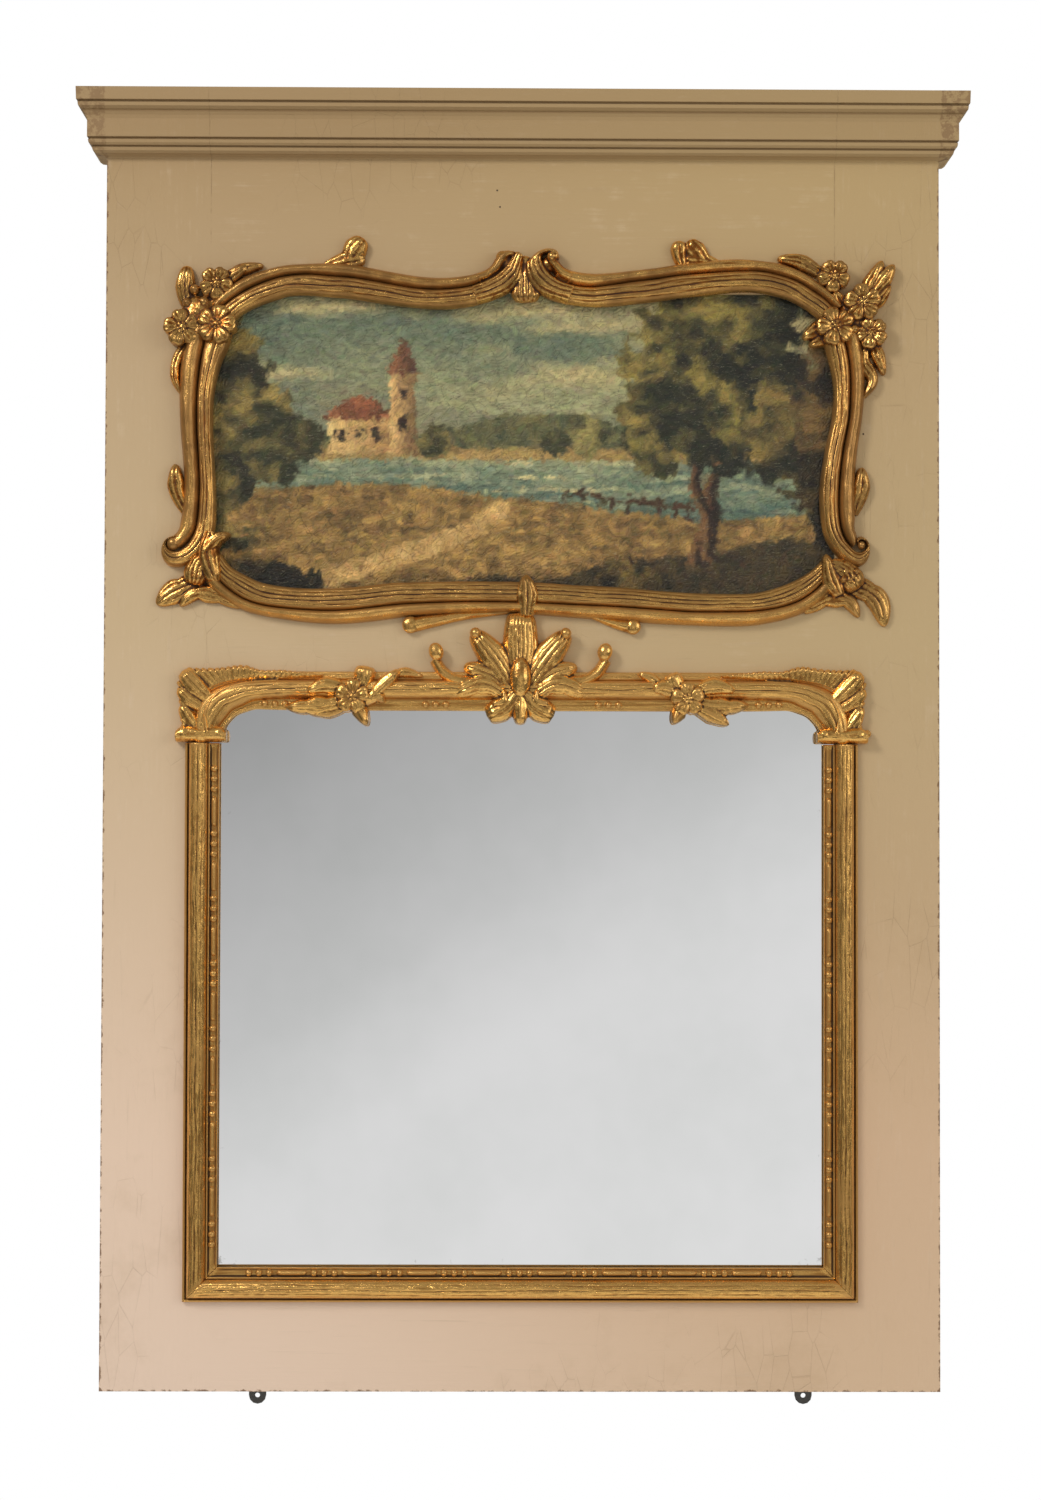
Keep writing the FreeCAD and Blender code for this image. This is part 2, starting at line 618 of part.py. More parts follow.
def prism(outline, near, far):
    """Flat piece facing the viewer between two depths, from (right, up) points."""
    face = polygon_face([point(x, near, z) for x, z in outline])
    return face.extrude(FreeCAD.Vector(0, near - far, 0))


def block(right, low, width, height, near, far):
    return Part.makeBox(width, far - near, height, point(right, far, low))


# ---------------------------------------------------------------- cornice

def cornice_profile():
    """Section of the cornice as (reach, height) points: fascia, quirked beads, frieze, beads."""
    reach, plain = size("cornice_reach"), size("frieze_reach")
    top, low = cornice_top, cornice_top - size("cornice_height")
    return [
        (0, top), (reach, top), (reach - 0.5, top - 15), (reach - 4.5, top - 15.5),
        (reach - 4.5, top - 17), (reach - 2, top - 18), (reach - 2.5, top - 22),
        (reach - 6, top - 24.5), (reach - 8.5, top - 25.5), (reach - 7.5, top - 27),
        (plain + 1.5, top - 31), (plain, top - 35), (plain, low + 21),
        (plain - 3.5, low + 20.5), (plain - 3.5, low + 19), (plain - 1, low + 18),
        (plain - 1.5, low + 14.5), (plain - 4, low + 12), (plain - 7, low + 11.5),
        (plain - 7, low + 10.5), (plain - 5, low + 9.5), (plain - 6, low + 6),
        (plain - 9.5, low + 3.5), (plain - 14, low + 3), (plain - 19, low + 1), (0, low),
    ]


def make_cornice():
    """Front moulding and two returns, mitred at the corners of the panel."""
    half = size("panel_width") / 2
    far = half + size("cornice_reach") + 20
    front = Part.Face(Part.makePolygon([
        point(-far, face_depth + reach, up) for reach, up in cornice_profile() + [(0, cornice_top)]]))
    front = front.extrude(FreeCAD.Vector(2 * far, 0, 0))
    side = Part.Face(Part.makePolygon([
        point(half + reach, 0, up) for reach, up in cornice_profile() + [(0, cornice_top)]]))
    side = side.extrude(FreeCAD.Vector(0, -far, 0))
    spread = far - half
    wedge = Part.Face(Part.makePolygon([
        point(-half, face_depth, 0), point(half, face_depth, 0),
        point(half + spread, face_depth + spread, 0),
        point(-half - spread, face_depth + spread, 0), point(-half, face_depth, 0)]))
    wedge = wedge.extrude(FreeCAD.Vector(0, 0, cornice_top + 1))
    feature("cornice_front", front.common(wedge))
    corner = Part.Face(Part.makePolygon([
        point(half, 0, 0), point(half + spread, 0, 0),
        point(half + spread, face_depth + spread, 0), point(half, face_depth, 0),
        point(half, 0, 0)]))
    corner = corner.extrude(FreeCAD.Vector(0, 0, cornice_top + 1))
    cornice_return = side.common(corner)
    feature("cornice_return_right", cornice_return)
    feature("cornice_return_left", mirrored(cornice_return))


make_cornice()
top_board = doc.addObject("Part::Box", "cornice_top_board")
top_board.setExpression("Length", "Sizes.panel_width")
top_board.setExpression("Width", FACE)
top_board.setExpression("Height", "Sizes.top_board_thickness")
place(top_board, "-Sizes.panel_width / 2", FACE, "Sizes.board_height")
nodes.append(top_board)


# ---------------------------------------------------------------- carved picture frame

PICTURE_PROFILE = [
    (-0.5, 0), (-0.49, 0.5), (-0.36, 0.93), (-0.22, 0.86), (-0.08, 0.36),
    (0.04, 0.62), (0.2, 0.76), (0.5, 0.22), (0.5, 0),
]
VOLUTE_PROFILE = [(-0.5, 0), (-0.42, 0.7), (0, 1), (0.42, 0.7), (0.5, 0)]


def scaled(profile, width, height, flip=1):
    return [(flip * across * width, out * height) for across, out in profile]


moulding = scaled(PICTURE_PROFILE, size("picture_moulding_width"), size("picture_moulding_height"))
moulding_flipped = [(-across, out) for across, out in moulding]
moulding_half = size("picture_moulding_width") / 2
side_line = opening_half - size("picture_sight_inset") + moulding_half
crest = size("crest_offset")


CREST_HEADING = -49.7
SWELL_TURN = 16
CORNER_REACH = 24


def top_moulding(side):
    """Ogee run from the crest out to a corner; side is -1 on the left and 1 on the right."""
    start = (crest * side + size("crest_half_width"), picture_top + 23.5)
    dip = [("arc", 40, 30), ("arc", 205, -CREST_HEADING - 30)]
    shoulder = [("arc", 190, -38.3)]
    swell_width = (side_line - CORNER_REACH - start[0] - travel(CREST_HEADING, dip)[0]
                   - travel(0, shoulder)[0])
    swell = swell_width / 2 / math.sin(math.radians(SWELL_TURN))
    ogee = [("arc", swell, SWELL_TURN), ("arc", swell, -SWELL_TURN)]
    shape = carved_run(moulding_flipped, start, CREST_HEADING, dip + ogee + shoulder)
    return shape if side > 0 else mirrored(shape)


STRAND_SHARE = 0.42
VOLUTE_STATIONS = 10


def volute(centre, radius, turn, side=1):
    """Scroll that winds in once round a raised eye; turn is 1 to the left, -1 to the right.

    It starts on the right of its centre where side is 1 and on the left where it is -1.
    """
    strand_width = radius * STRAND_SHARE
    crown = size("picture_moulding_height") + 3
    rings = []
    for station in range(VOLUTE_STATIONS + 1):
        share = station / VOLUTE_STATIONS
        angle = turn * 2 * math.pi * share + (0 if side > 0 else math.pi)
        taper = 1 - 0.35 * share
        reach = radius - strand_width / 2 - strand_width * share
        rings.append([
            point(centre[0] + (reach + across * strand_width * taper) * math.cos(angle),
                  face_depth + out * crown,
                  centre[1] + (reach + across * strand_width * taper) * math.sin(angle))
            for across, out in VOLUTE_PROFILE])
    eye = knob(centre, radius * 0.32, crown + 2)
    ground = knob(centre, radius * 0.75, crown * 0.4, narrow=0.95)
    return [facet_solid(rings), eye, ground]


SIDE_TOP = 34
LEFT_FOOT = 90
WAIST = 110
SWAY_TURN = 14.7


def left_side_moulding():
    flare, foot = [("arc", 150, 18)], [("arc", 60, -35)]
    lean = travel(252, flare)
    start = (-side_line - lean[0], picture_top - SIDE_TOP)
    straight = start[1] + lean[1] - picture_low - LEFT_FOOT
    run = carved_run(moulding, start, 252, flare + [("line", straight)] + foot)
    scroll = volute((-side_line - 20, picture_low + 48), 22.5, -1)
    return fused([run] + scroll)


def right_side_moulding():
    flare, foot = [("arc", 340, -16)], [("arc", 150, 30)]
    start = (side_line - 8, picture_top - SIDE_TOP)
    sway_height = start[1] + travel(286, flare)[1] - picture_low - WAIST
    sway = sway_height / 2 / math.sin(math.radians(SWAY_TURN))
    bends = [("arc", sway, -SWAY_TURN), ("arc", sway, SWAY_TURN)]
    run = carved_run(moulding_flipped, start, 286, flare + bends + foot)
    scroll = volute((side_line + 14, picture_low + 58), 18, 1, -1)
    return fused([run] + scroll)


def bottom_moulding():
    end = side_line - moulding_half
    corner = [("arc", 186, 43)]
    sway = [("arc", 513, 8.4), ("arc", 513, -8.4)]
    straight = end - travel(-43, corner)[0] - travel(0, sway)[0]
    return carved_run(moulding, (-end, picture_low + 38), -43,
                      corner + sway + [("line", 2 * straight)] + sway[::-1] + corner)


top_left = top_moulding(-1)
top_right = top_moulding(1)
bottom_run = bottom_moulding()
left_run = left_side_moulding().cut(bottom_run).cut(top_left)
right_run = right_side_moulding().cut(bottom_run).cut(top_right)
feature("picture_moulding_top_left", top_left)
feature("picture_moulding_top_right", top_right)
feature("picture_moulding_left", left_run)
feature("picture_moulding_right", right_run)
feature("picture_moulding_bottom", bottom_run)


# ---------------------------------------------------------------- gilded mirror moulding

MIRROR_PROFILE = [
    (-0.5, 0), (-0.5, 0.3), (-0.43, 0.36), (-0.35, 0.7), (-0.2, 0.96), (-0.02, 0.98),
    (0.14, 0.76), (0.22, 0.26), (0.5, 0.24), (0.5, 0),
]
BEAD_ACROSS = 0.38
STRIP_HEIGHT = 0.24
mirror_section = scaled(MIRROR_PROFILE, size("mirror_moulding_width"), size("mirror_moulding_height"))
mirror_flipped = [(-across, out) for across, out in mirror_section]
mirror_half = size("mirror_moulding_width") / 2
inset = size("mirror_sight_inset")
sight_right = opening_half - inset
sight_low = mirror_low + inset
sight_top = mirror_top - inset
arch = size("arch_rise")
spring_line = sight_top - arch
bead_off = size("mirror_moulding_width") * (0.5 - BEAD_ACROSS)
strip_height = size("mirror_moulding_height") * STRIP_HEIGHT


def bead_row(start, heading, length):
    """Groups of three beads with a bar between the groups, along a straight strip."""
    angle = math.radians(heading)
    ahead = (math.cos(angle), math.sin(angle))
    across = (-ahead[1], ahead[0])
    pitch, radius = size("bead_pitch"), size("bead_radius")
    top = strip_height + size("bead_height")
    period = 3 * pitch + size("reel_length") + pitch / 2
    groups = int(length // period)
    spare = (length - groups * period) / 2
    shapes = []
    for group in range(groups):
        for bead in range(3):
            reach = spare + group * period + (bead + 0.5) * pitch
            centre = (start[0] + ahead[0] * reach, start[1] + ahead[1] * reach)
            shapes.append(knob(centre, radius, top, low=strip_height - 0.5, sides=4))
        first = spare + group * period + 3.2 * pitch
        rings = []
        for rise, inside in ((strip_height - 0.5, 0), (top, 1.6)):
            ends = (first + inside, first + size("reel_length") - inside)
            side = radius * 0.85 - inside
            ring = [(ends[0], -side), (ends[1], -side), (ends[1], side), (ends[0], side)]
            rings.append([point(start[0] + ahead[0] * a + across[0] * b, face_depth + rise,
                                start[1] + ahead[1] * a + across[1] * b) for a, b in ring])
        shapes.append(facet_solid(rings))
    return shapes


def side_moulding():
    """Left upright: a straight moulding, mitred at the foot, with beads along the glass."""
    outer = -sight_right - 2 * mirror_half
    run = carved_run(mirror_flipped, (-sight_right - mirror_half, sight_low - 50), 90,
                     [("line", spring_line - sight_low + 50)])
    keep = prism([(outer, sight_low - 2 * mirror_half), (-sight_right, sight_low),
                  (-sight_right, spring_line), (outer, spring_line)],
                 face_depth - 1, face_depth + 40)
    beads = bead_row((-sight_right - bead_off, sight_low), 90, spring_line - sight_low)
    return fused([run.common(keep)] + beads)


def lower_moulding():
    """Lower moulding, mitred at both ends."""
    end = sight_right + 2 * mirror_half
    low = sight_low - 2 * mirror_half
    run = carved_run(mirror_section, (-end, sight_low - mirror_half), 0, [("line", 2 * end)])
    keep = prism([(-end, low), (end, low), (sight_right, sight_low), (-sight_right, sight_low)],
                 face_depth - 1, face_depth + 40)
    beads = bead_row((-sight_right, sight_low - bead_off), 0, 2 * sight_right)
    return fused([run.common(keep)] + beads)


BEAD_STRETCHES = [(0.52, 76), (1, 78)]


def upper_moulding():
    """Upper moulding that turns down into each side through a quarter round."""
    bend = arch + mirror_half
    start = (-sight_right - mirror_half, spring_line)
    run = carved_run(mirror_flipped, start, 90, [
        ("arc", bend, -90), ("line", 2 * (sight_right - arch)), ("arc", bend, -90)])
    strip = sight_top + bead_off
    shapes = [run]
    for share, length in BEAD_STRETCHES:
        reach = (sight_right - arch) * share
        row = bead_row((-reach, strip), 0, length)
        shapes += row + [mirrored(bead) for bead in row]
    return fused(shapes)


side_piece = side_moulding()
mirror_top_piece = upper_moulding()
mirror_right_piece = mirrored(side_piece)
feature("mirror_moulding_left", side_piece)
feature("mirror_moulding_right", mirror_right_piece)
feature("mirror_moulding_bottom", lower_moulding())
feature("mirror_moulding_top", mirror_top_piece)


# ---------------------------------------------------------------- applied carving

def ornament(name, shapes, neighbours=()):
    """Carving glued on the panel, cut to seat over the mouldings beside it."""
    shape = fused(shapes)
    for neighbour in neighbours:
        shape = shape.cut(neighbour)
    feature(name, shape)
    return shape


def crest_shell():
    """Two scrolls turning outwards from a fluted shell at the top of the picture."""
    top = picture_top
    scroll = volute((crest - 21, top + 34), 16, 1)
    scrolls = scroll + [mirrored(piece, crest) for piece in scroll]
    fan = [leaf((crest, top + 42), (crest, top - 13), 26, 22, edge=12),
           leaf((crest - 4, top + 36), (crest - 14, top - 3), 14, 20, edge=10),
           leaf((crest + 4, top + 36), (crest + 14, top - 3), 14, 20, edge=10)]
    return scrolls + fan


ornament("crest_shell", crest_shell(), (top_left, top_right))

left, right = -side_line, side_line
ornament("corner_flowers_left",
         [knob((left + 2, picture_top - 24), 34, 13, narrow=0.85)]
         + flower((left - 18, picture_top - 43), 21, 24, 100)
         + flower((left + 24, picture_top - 44), 21, 28, 80)
         + flower((left + 24, picture_top + 9), 16, 22, 60)
         + [leaf((left - 10, picture_top - 20), (left - 14, picture_top + 31), 22, 16, edge=5),
            leaf((left + 20, picture_top + 8), (left + 52, picture_top + 30), 20, 16, edge=6),
            leaf((left + 40, picture_top + 16), (left + 76, picture_top + 30), 14, 13, edge=5),
            knob((left - 1, picture_top - 4), 8, 18), knob((left - 10, picture_top - 19), 8, 18)],
         (top_left, left_run))
ornament("corner_flowers_right",
         [knob((right - 2, picture_top - 22), 34, 13, narrow=0.85)]
         + flower((right + 14, picture_top - 12), 16, 26, 90)
         + flower((right - 14, picture_top - 38), 20, 28, 70)
         + flower((right - 19, picture_top + 20), 16, 22, 110)
         + flower((right + 20, picture_top - 49), 17, 24, 30)
         + [leaf((right + 12, picture_top - 10), (right + 57, picture_top + 39), 26, 14, edge=5),
            leaf((right + 12, picture_top - 20), (right + 44, picture_top + 6), 18, 12, edge=4),
            leaf((right - 20, picture_top + 20), (right - 86, picture_top + 38), 20, 15, edge=6),
            leaf((right - 14, picture_top - 40), (right - 54, picture_top - 52), 16, 20, edge=15),
            leaf((right + 24, picture_top - 55), (right + 44, picture_top - 125), 20, 12, edge=4),
            leaf((right + 18, picture_top - 62), (right + 22, picture_top - 125), 16, 12, edge=4)],
         (top_right, right_run))
ornament("shoulder_leaves",
         [leaf((left + 158, picture_top + 36), (left + 208, picture_top + 62), 30, 11),
          knob((left + 199, picture_top + 55), 9, 12),
          leaf((right - 160, picture_top + 36), (right - 196, picture_top + 67), 26, 11),
          knob((right - 188, picture_top + 60), 9, 12)],
         (top_left, top_right))
ornament("side_buds",
         [leaf((left - 16, picture_low + 95), (left - 22, picture_low + 158), 30, 11, bow=8),
          leaf((right + 8, picture_low + 104), (right + 22, picture_low + 156), 22, 11, bow=-8)],
         (left_run, right_run))
low = picture_low
ornament("corner_leaves_left",
         [leaf((left + 30, low - 2), (left - 48, low - 8), 28, 12, bow=6, lobes=0.3),
          leaf((left + 62, low - 14), (left - 18, low - 14), 18, 11),
          leaf((left - 12, low + 12), (left + 44, low + 72), 34, 24, edge=16),
          leaf((left + 22, low + 40), (left - 8, low + 14), 30, 22, edge=12, lobes=0.4)],
         (left_run, bottom_run))
ornament("corner_leaves_right",
         [leaf((right - 26, low + 18), (right + 45, low - 32), 30, 12, bow=12),
          leaf((right - 56, low - 12), (right + 12, low - 22), 22, 11, bow=4),
          leaf((right - 2, low + 2), (right - 24, low + 52), 34, 24, edge=16),
          leaf((right - 16, low + 42), (right + 8, low + 10), 30, 22, edge=12, lobes=0.4)],
         (right_run, bottom_run))
bud = ornament("bottom_bud",
               [leaf((crest, low - 20), (crest, low + 26), 26, 26, edge=14),
                leaf((crest - 3, low - 24), (crest - 16, low), 14, 22, edge=12),
                leaf((crest + 3, low - 24), (crest + 16, low), 14, 22, edge=12)],
               (bottom_run,))
ornament("twigs",
         [leaf((-18, low - 16), (-146, low - 42), 12, 9, bow=6),
          knob((-137, low - 38), 10, 11),
          leaf((84, low - 18), (142, low - 36), 12, 9, bow=-4),
          knob((134, low - 34), 9, 11)],
         (bottom_run, bud))


def palmette():
    """Fan of seven acanthus leaves round a tongue, between two tendrils that end in knobs."""
    root = sight_top + 14
    shapes = [leaf((0, root + 30), (1, low - 18), 36, 16, edge=5, lobes=0.3),
              leaf((-3, root - 2), (-2, root + 62), 26, 32, edge=20),
              leaf((-2, root + 8), (-2, root - 30), 26, 30, edge=22)]
    for side in (-1, 1):
        shapes += [
            leaf((side * 4, root + 16), (side * 61, root + 96 - 14), 26, 22, bow=-side * 5, edge=6),
            leaf((side * 6, root + 10), (side * 68, root + 40), 26, 24, bow=-side * 4, edge=9),
            leaf((side * 6, root + 2), (side * 80, root + 6), 24, 28, bow=side * 3, edge=20),
            leaf((side * 4, root + 6), (side * 34, root - 20), 24, 28, edge=20),
            leaf((side * 58, root + 20), (side * 108, root + 34), 13, 14, bow=-side * 10, edge=7),
            leaf((side * 110, root + 30), (side * 101, root + 60), 11, 14, bow=side * 6, edge=7),
            knob((side * 101, root + 54), 9, 16)]
    return shapes


ornament("palmette_crest", palmette(), (mirror_top_piece, bottom_run, bud))


def corner_acanthus():
    """Leaf that wraps the left shoulder of the mirror moulding, on a small plinth."""
    edge = -sight_right - 2 * mirror_half
    shapes = [block(edge - 9, spring_line, 58, 19, face_depth, face_depth + 23),
              leaf((edge + 58, spring_line + 22), (edge - 10, spring_line + 90), 74, 26, edge=12,
                   lobes=0.3),
              leaf((edge + 14, spring_line + 16), (edge - 8, spring_line + 76), 30, 24, edge=12),
              leaf((edge + 40, spring_line + 60), (edge + 76, spring_line + 90), 34, 22, edge=10)]
    return shapes


acanthus = fused(corner_acanthus()).cut(mirror_top_piece).cut(side_piece)
feature("corner_acanthus_left", acanthus)
feature("corner_acanthus_right", mirrored(acanthus))
strip = sight_top
sprig = sight_right - size("sprig_inset")
ornament("flower_sprig_left",
         flower((-sprig, strip + 16), 18, 30, 90)
         + [leaf((-sprig - 9, strip + 4), (-sprig - 80, strip + 1), 26, 22, bow=-3, edge=12),
            leaf((-sprig + 3, strip + 6), (-sprig + 19, strip - 20), 20, 22, edge=12),
            leaf((-sprig + 7, strip + 24), (-sprig + 15, strip + 52), 26, 20, edge=8),
            leaf((-sprig + 13, strip + 14), (-sprig + 43, strip + 26), 20, 24, edge=16)],
         (mirror_top_piece,))
ornament("flower_sprig_right",
         flower((sprig - 5, strip + 14), 15, 30, 90)
         + [leaf((sprig + 3, strip + 4), (sprig + 43, strip - 18), 26, 22, bow=4, edge=12),
            leaf((sprig - 11, strip + 4), (sprig - 21, strip - 16), 20, 22, edge=12),
            leaf((sprig - 17, strip + 24), (sprig - 53, strip + 28), 34, 24, edge=16),
            leaf((sprig + 11, strip + 12), (sprig + 75, strip + 6), 22, 22, edge=14)],
         (mirror_top_piece,))


# ---------------------------------------------------------------- pegs, brads, screws, blocks

def rod(centre, sections, sides=SCREW_SIDES):
    """Many-sided pin along the depth; each section is a (depth, radius) pair."""
    rings = []
    for depth, radius in sections:
        ring = []
        for side in range(sides):
            turn = 2 * math.pi * side / sides
            ring.append(point(centre[0] + radius * math.cos(turn), depth,
                              centre[1] + radius * math.sin(turn)))
        rings.append(ring)
    return facet_solid(rings)


rails = [(0, mirror_low), (mirror_top, size("middle_rail_height")),
         (picture_top, size("board_height") - picture_top)]
peg_line = opening_half + size("tenon_length") / 2
peg_edge = size("tenon_shoulder") + size("peg_inset")
batten_face = size("batten_thickness")
pegs = []
peg_half = size("peg_width") / 2 - clearance / 2
for low, height in rails:
    for up in (low + peg_edge, low + height - peg_edge):
        for right in (-peg_line, peg_line):
            pegs.append(block(right - peg_half, up - peg_half, 2 * peg_half, 2 * peg_half,
                              batten_face, face_depth - size("lip_thickness")))
feature("tenon_pegs", Part.makeCompound(pegs))

lap = size("back_board_lap")
brad_line = opening_half + size("rebate_width") + (lap - size("rebate_width")) / 2
board_height = (size("mirror_opening_height") + 2 * lap) / BACK_BOARDS
board_back = batten_face - size("back_board_thickness")
brad_half = size("brad_width") / 2
brads = []
for number in range(BACK_BOARDS):
    low = mirror_low - lap + number * board_height
    for up in (low + size("brad_inset"), low + board_height - size("brad_inset")):
        for right in (-brad_line, brad_line):
            brads.append(block(right - brad_half, up - brad_half, 2 * brad_half, 2 * brad_half,
                               board_back, board_back + size("brad_length")))
feature("back_board_brads", Part.makeCompound(brads))

block_length = 30
block_back = batten_face
block_front = face_depth - size("lip_thickness") - size("glass_thickness")
block_reach = size("rebate_width") - 1
blocks = []
for side in (-1, 1):
    edge = side * (opening_half + size("rebate_width"))
    right = min(edge, edge - side * block_reach)
    for share in (0.15, 0.5, 0.85):
        up = mirror_low + size("mirror_opening_height") * share - block_length / 2
        blocks.append(block(right, up, block_reach, block_length, block_back, block_front))
for share in (0.2, 0.8):
    right = opening_half * (2 * share - 1) - block_length / 2
    blocks.append(block(right, mirror_low - size("rebate_width"), block_length, block_reach,
                        block_back, block_front))
    blocks.append(block(right, mirror_top + 1, block_length, block_reach,
                        block_back, block_front))
feature("glass_blocks", Part.makeCompound(blocks))

stretcher_half = (opening_half + size("rebate_width") - size("glass_play")
                  - size("canvas_thickness") - size("stretcher_width"))
stretcher_low = (picture_low - size("rebate_width") + size("glass_play")
                 + size("canvas_thickness") + size("stretcher_width"))
stretcher_top = 2 * picture_low + size("picture_opening_height") - stretcher_low
stretcher_front = face_depth - size("lip_thickness") - size("canvas_thickness")
key_long, key_short, key_thick = 26, 12, 3
keys = []
for side in (-1, 1):
    for corner_up, turn in ((stretcher_low, 1), (stretcher_top, -1)):
        corner = side * stretcher_half
        for near, wide, tall in ((2, key_long, key_short), (7, key_short, key_long)):
            outline = [(corner, corner_up), (corner - side * wide, corner_up),
                       (corner, corner_up + turn * tall)]
            keys.append(prism(outline, stretcher_front - near - key_thick, stretcher_front - near))
feature("stretcher_keys", Part.makeCompound(keys))


# ---------------------------------------------------------------- wall plates and hangers

SCREW_HEAD = 3.6
END_FACETS = 6


def screw(centre, depth):
    """Countersunk wood screw, its head flush at the given depth."""
    length, shank = size("screw_length"), size("screw_radius")
    return rod(centre, [(depth, SCREW_HEAD), (depth + 2, shank),
                        (depth + length, shank)])


def countersunk(centre, depth, thickness):
    """The hole of such a screw through a thin plate, with a little play."""
    play = clearance / 2
    return rod(centre, [(depth, SCREW_HEAD + play),
                        (depth + thickness, size("screw_radius") + play)])


def wall_plate(centre):
    """Tab that hangs below the panel, screwed into the bottom batten, with one wall hole."""
    width, thick = size("plate_width"), size("plate_thickness")
    hole = -size("panel_lift")
    inward = FreeCAD.Vector(0, -1, 0)
    top = hole + size("plate_length") - size("plate_end")
    outline = [(centre - width / 2, top)]
    for step in range(END_FACETS + 1):
        turn = math.pi * (1 + step / END_FACETS)
        outline.append((centre + width / 2 * math.cos(turn),
                        hole + size("plate_end") * math.sin(turn)))
    outline.append((centre + width / 2, top))
    plate = prism(outline, 0, thick)
    plate = plate.cut(Part.makeCylinder(size("plate_hole_radius"), thick,
                                        point(centre, 0, hole), inward))
    for up in PLATE_SCREWS:
        plate = plate.cut(countersunk((centre, up), 0, thick))
    return plate


screws = []
plates = []
for side in (-1, 1):
    centre = side * size("plate_spacing") / 2 - size("centre_line")
    plates.append(wall_plate(centre))
    screws += [screw((centre, up), 0) for up in PLATE_SCREWS]

feature("wall_plates", Part.makeCompound(plates))

hinge_up = size("board_height") - size("hanger_drop")
hanger_line = (size("panel_width") / 2 - size("batten_width") - size("hanger_gap")
               - size("strap_width") / 2)
strap_back = batten_face - size("strap_thickness")
bore = size("ring_bar_radius") + size("ring_clearance")
eye_radius = bore + size("strap_thickness")
hinge_depth = batten_face - eye_radius


def hanger_strap(centre):
    """Steel strap on the back of a stile, its lower end rolled into an eye for the ring."""
    width, thick = size("strap_width"), size("strap_thickness")
    across = FreeCAD.Vector(1, 0, 0)
    left_end = point(centre - width / 2, hinge_depth, hinge_up)
    eye = Part.makeCylinder(eye_radius, width, left_end, across)
    plate = block(centre - width / 2, hinge_up, width, size("strap_length"), strap_back, batten_face)
    strap = plate.fuse(eye).cut(Part.makeCylinder(bore, width, left_end, across))
    for up in STRAP_SCREWS:
        strap = strap.cut(countersunk((centre, hinge_up + up), strap_back, thick))
    return strap


def hanger_ring(centre):
    """D-shaped ring that swings on a straight bar."""
    gap_half = size("strap_width") / 2 + 1
    rim = size("ring_rim")
    thick = size("ring_thickness")
    bend_up = hinge_up - size("ring_reach") + gap_half
    top = hinge_up + size("ring_bar_radius")
    near = hinge_depth - thick / 2

    def d_shape(half, crown):
        outline = [(centre - half, crown)]
        for step in range(2 * END_FACETS + 1):
            turn = math.pi * (1 + step / (2 * END_FACETS))
            outline.append((centre + half * math.cos(turn), bend_up + half * math.sin(turn)))
        outline.append((centre + half, crown))
        return prism(outline, near, near + thick)

    bow = d_shape(gap_half + rim, top).cut(d_shape(gap_half, top + 1))
    bar = Part.makeCylinder(size("ring_bar_radius"), 2 * gap_half + 2,
                            point(centre - gap_half - 1, hinge_depth, hinge_up),
                            FreeCAD.Vector(1, 0, 0))
    return bow.fuse(bar)


straps = []
for side_name, side in (("left", -1), ("right", 1)):
    centre = side * hanger_line
    straps.append(hanger_strap(centre))
    feature("hanger_ring_" + side_name, hanger_ring(centre))
    screws += [screw((centre, hinge_up + up), strap_back) for up in STRAP_SCREWS]
feature("hanger_straps", Part.makeCompound(straps))
feature("fixing_screws", Part.makeCompound(screws))


# ---------------------------------------------------------------- checks and files

doc.recompute()
for obj in doc.Objects:
    if "Invalid" in obj.State or "Error" in obj.State:
        raise RuntimeError("%s failed: %s" % (obj.Name, obj.State))
os.makedirs("parts", exist_ok=True)
for node in nodes:
    node.Label = node.Name
    if node.Shape.isNull() or not node.Shape.isValid():
        raise RuntimeError("%s has no valid shape" % node.Name)
    node.Shape.exportStep("parts/%s.step" % node.Label)
print("%d sub-parts written" % len(nodes))
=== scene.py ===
"""Trumeau mirror: painted panel, carved and gilded mouldings, looking glass and landscape canvas."""

import math

import bmesh
import bpy
import numpy as np
from bpy.props import FloatProperty, FloatVectorProperty, IntProperty, PointerProperty
from mathutils import Matrix, Vector


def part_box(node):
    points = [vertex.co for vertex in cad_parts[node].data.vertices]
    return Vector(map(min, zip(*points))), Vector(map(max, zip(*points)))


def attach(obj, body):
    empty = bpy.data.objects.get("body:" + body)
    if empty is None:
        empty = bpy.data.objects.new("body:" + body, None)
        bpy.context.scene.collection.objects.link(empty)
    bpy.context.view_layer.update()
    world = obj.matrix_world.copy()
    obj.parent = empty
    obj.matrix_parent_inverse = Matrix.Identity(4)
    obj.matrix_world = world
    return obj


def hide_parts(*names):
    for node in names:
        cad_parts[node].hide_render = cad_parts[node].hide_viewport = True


bl_info = {
    "name": "Trumeau Mirror",
    "version": (1, 0, 0),
    "blender": (4, 5, 0),
    "location": "View3D > Sidebar > Trumeau",
    "description": "Builds a painted trumeau with carved gilding, looking glass and canvas",
    "category": "Object",
}

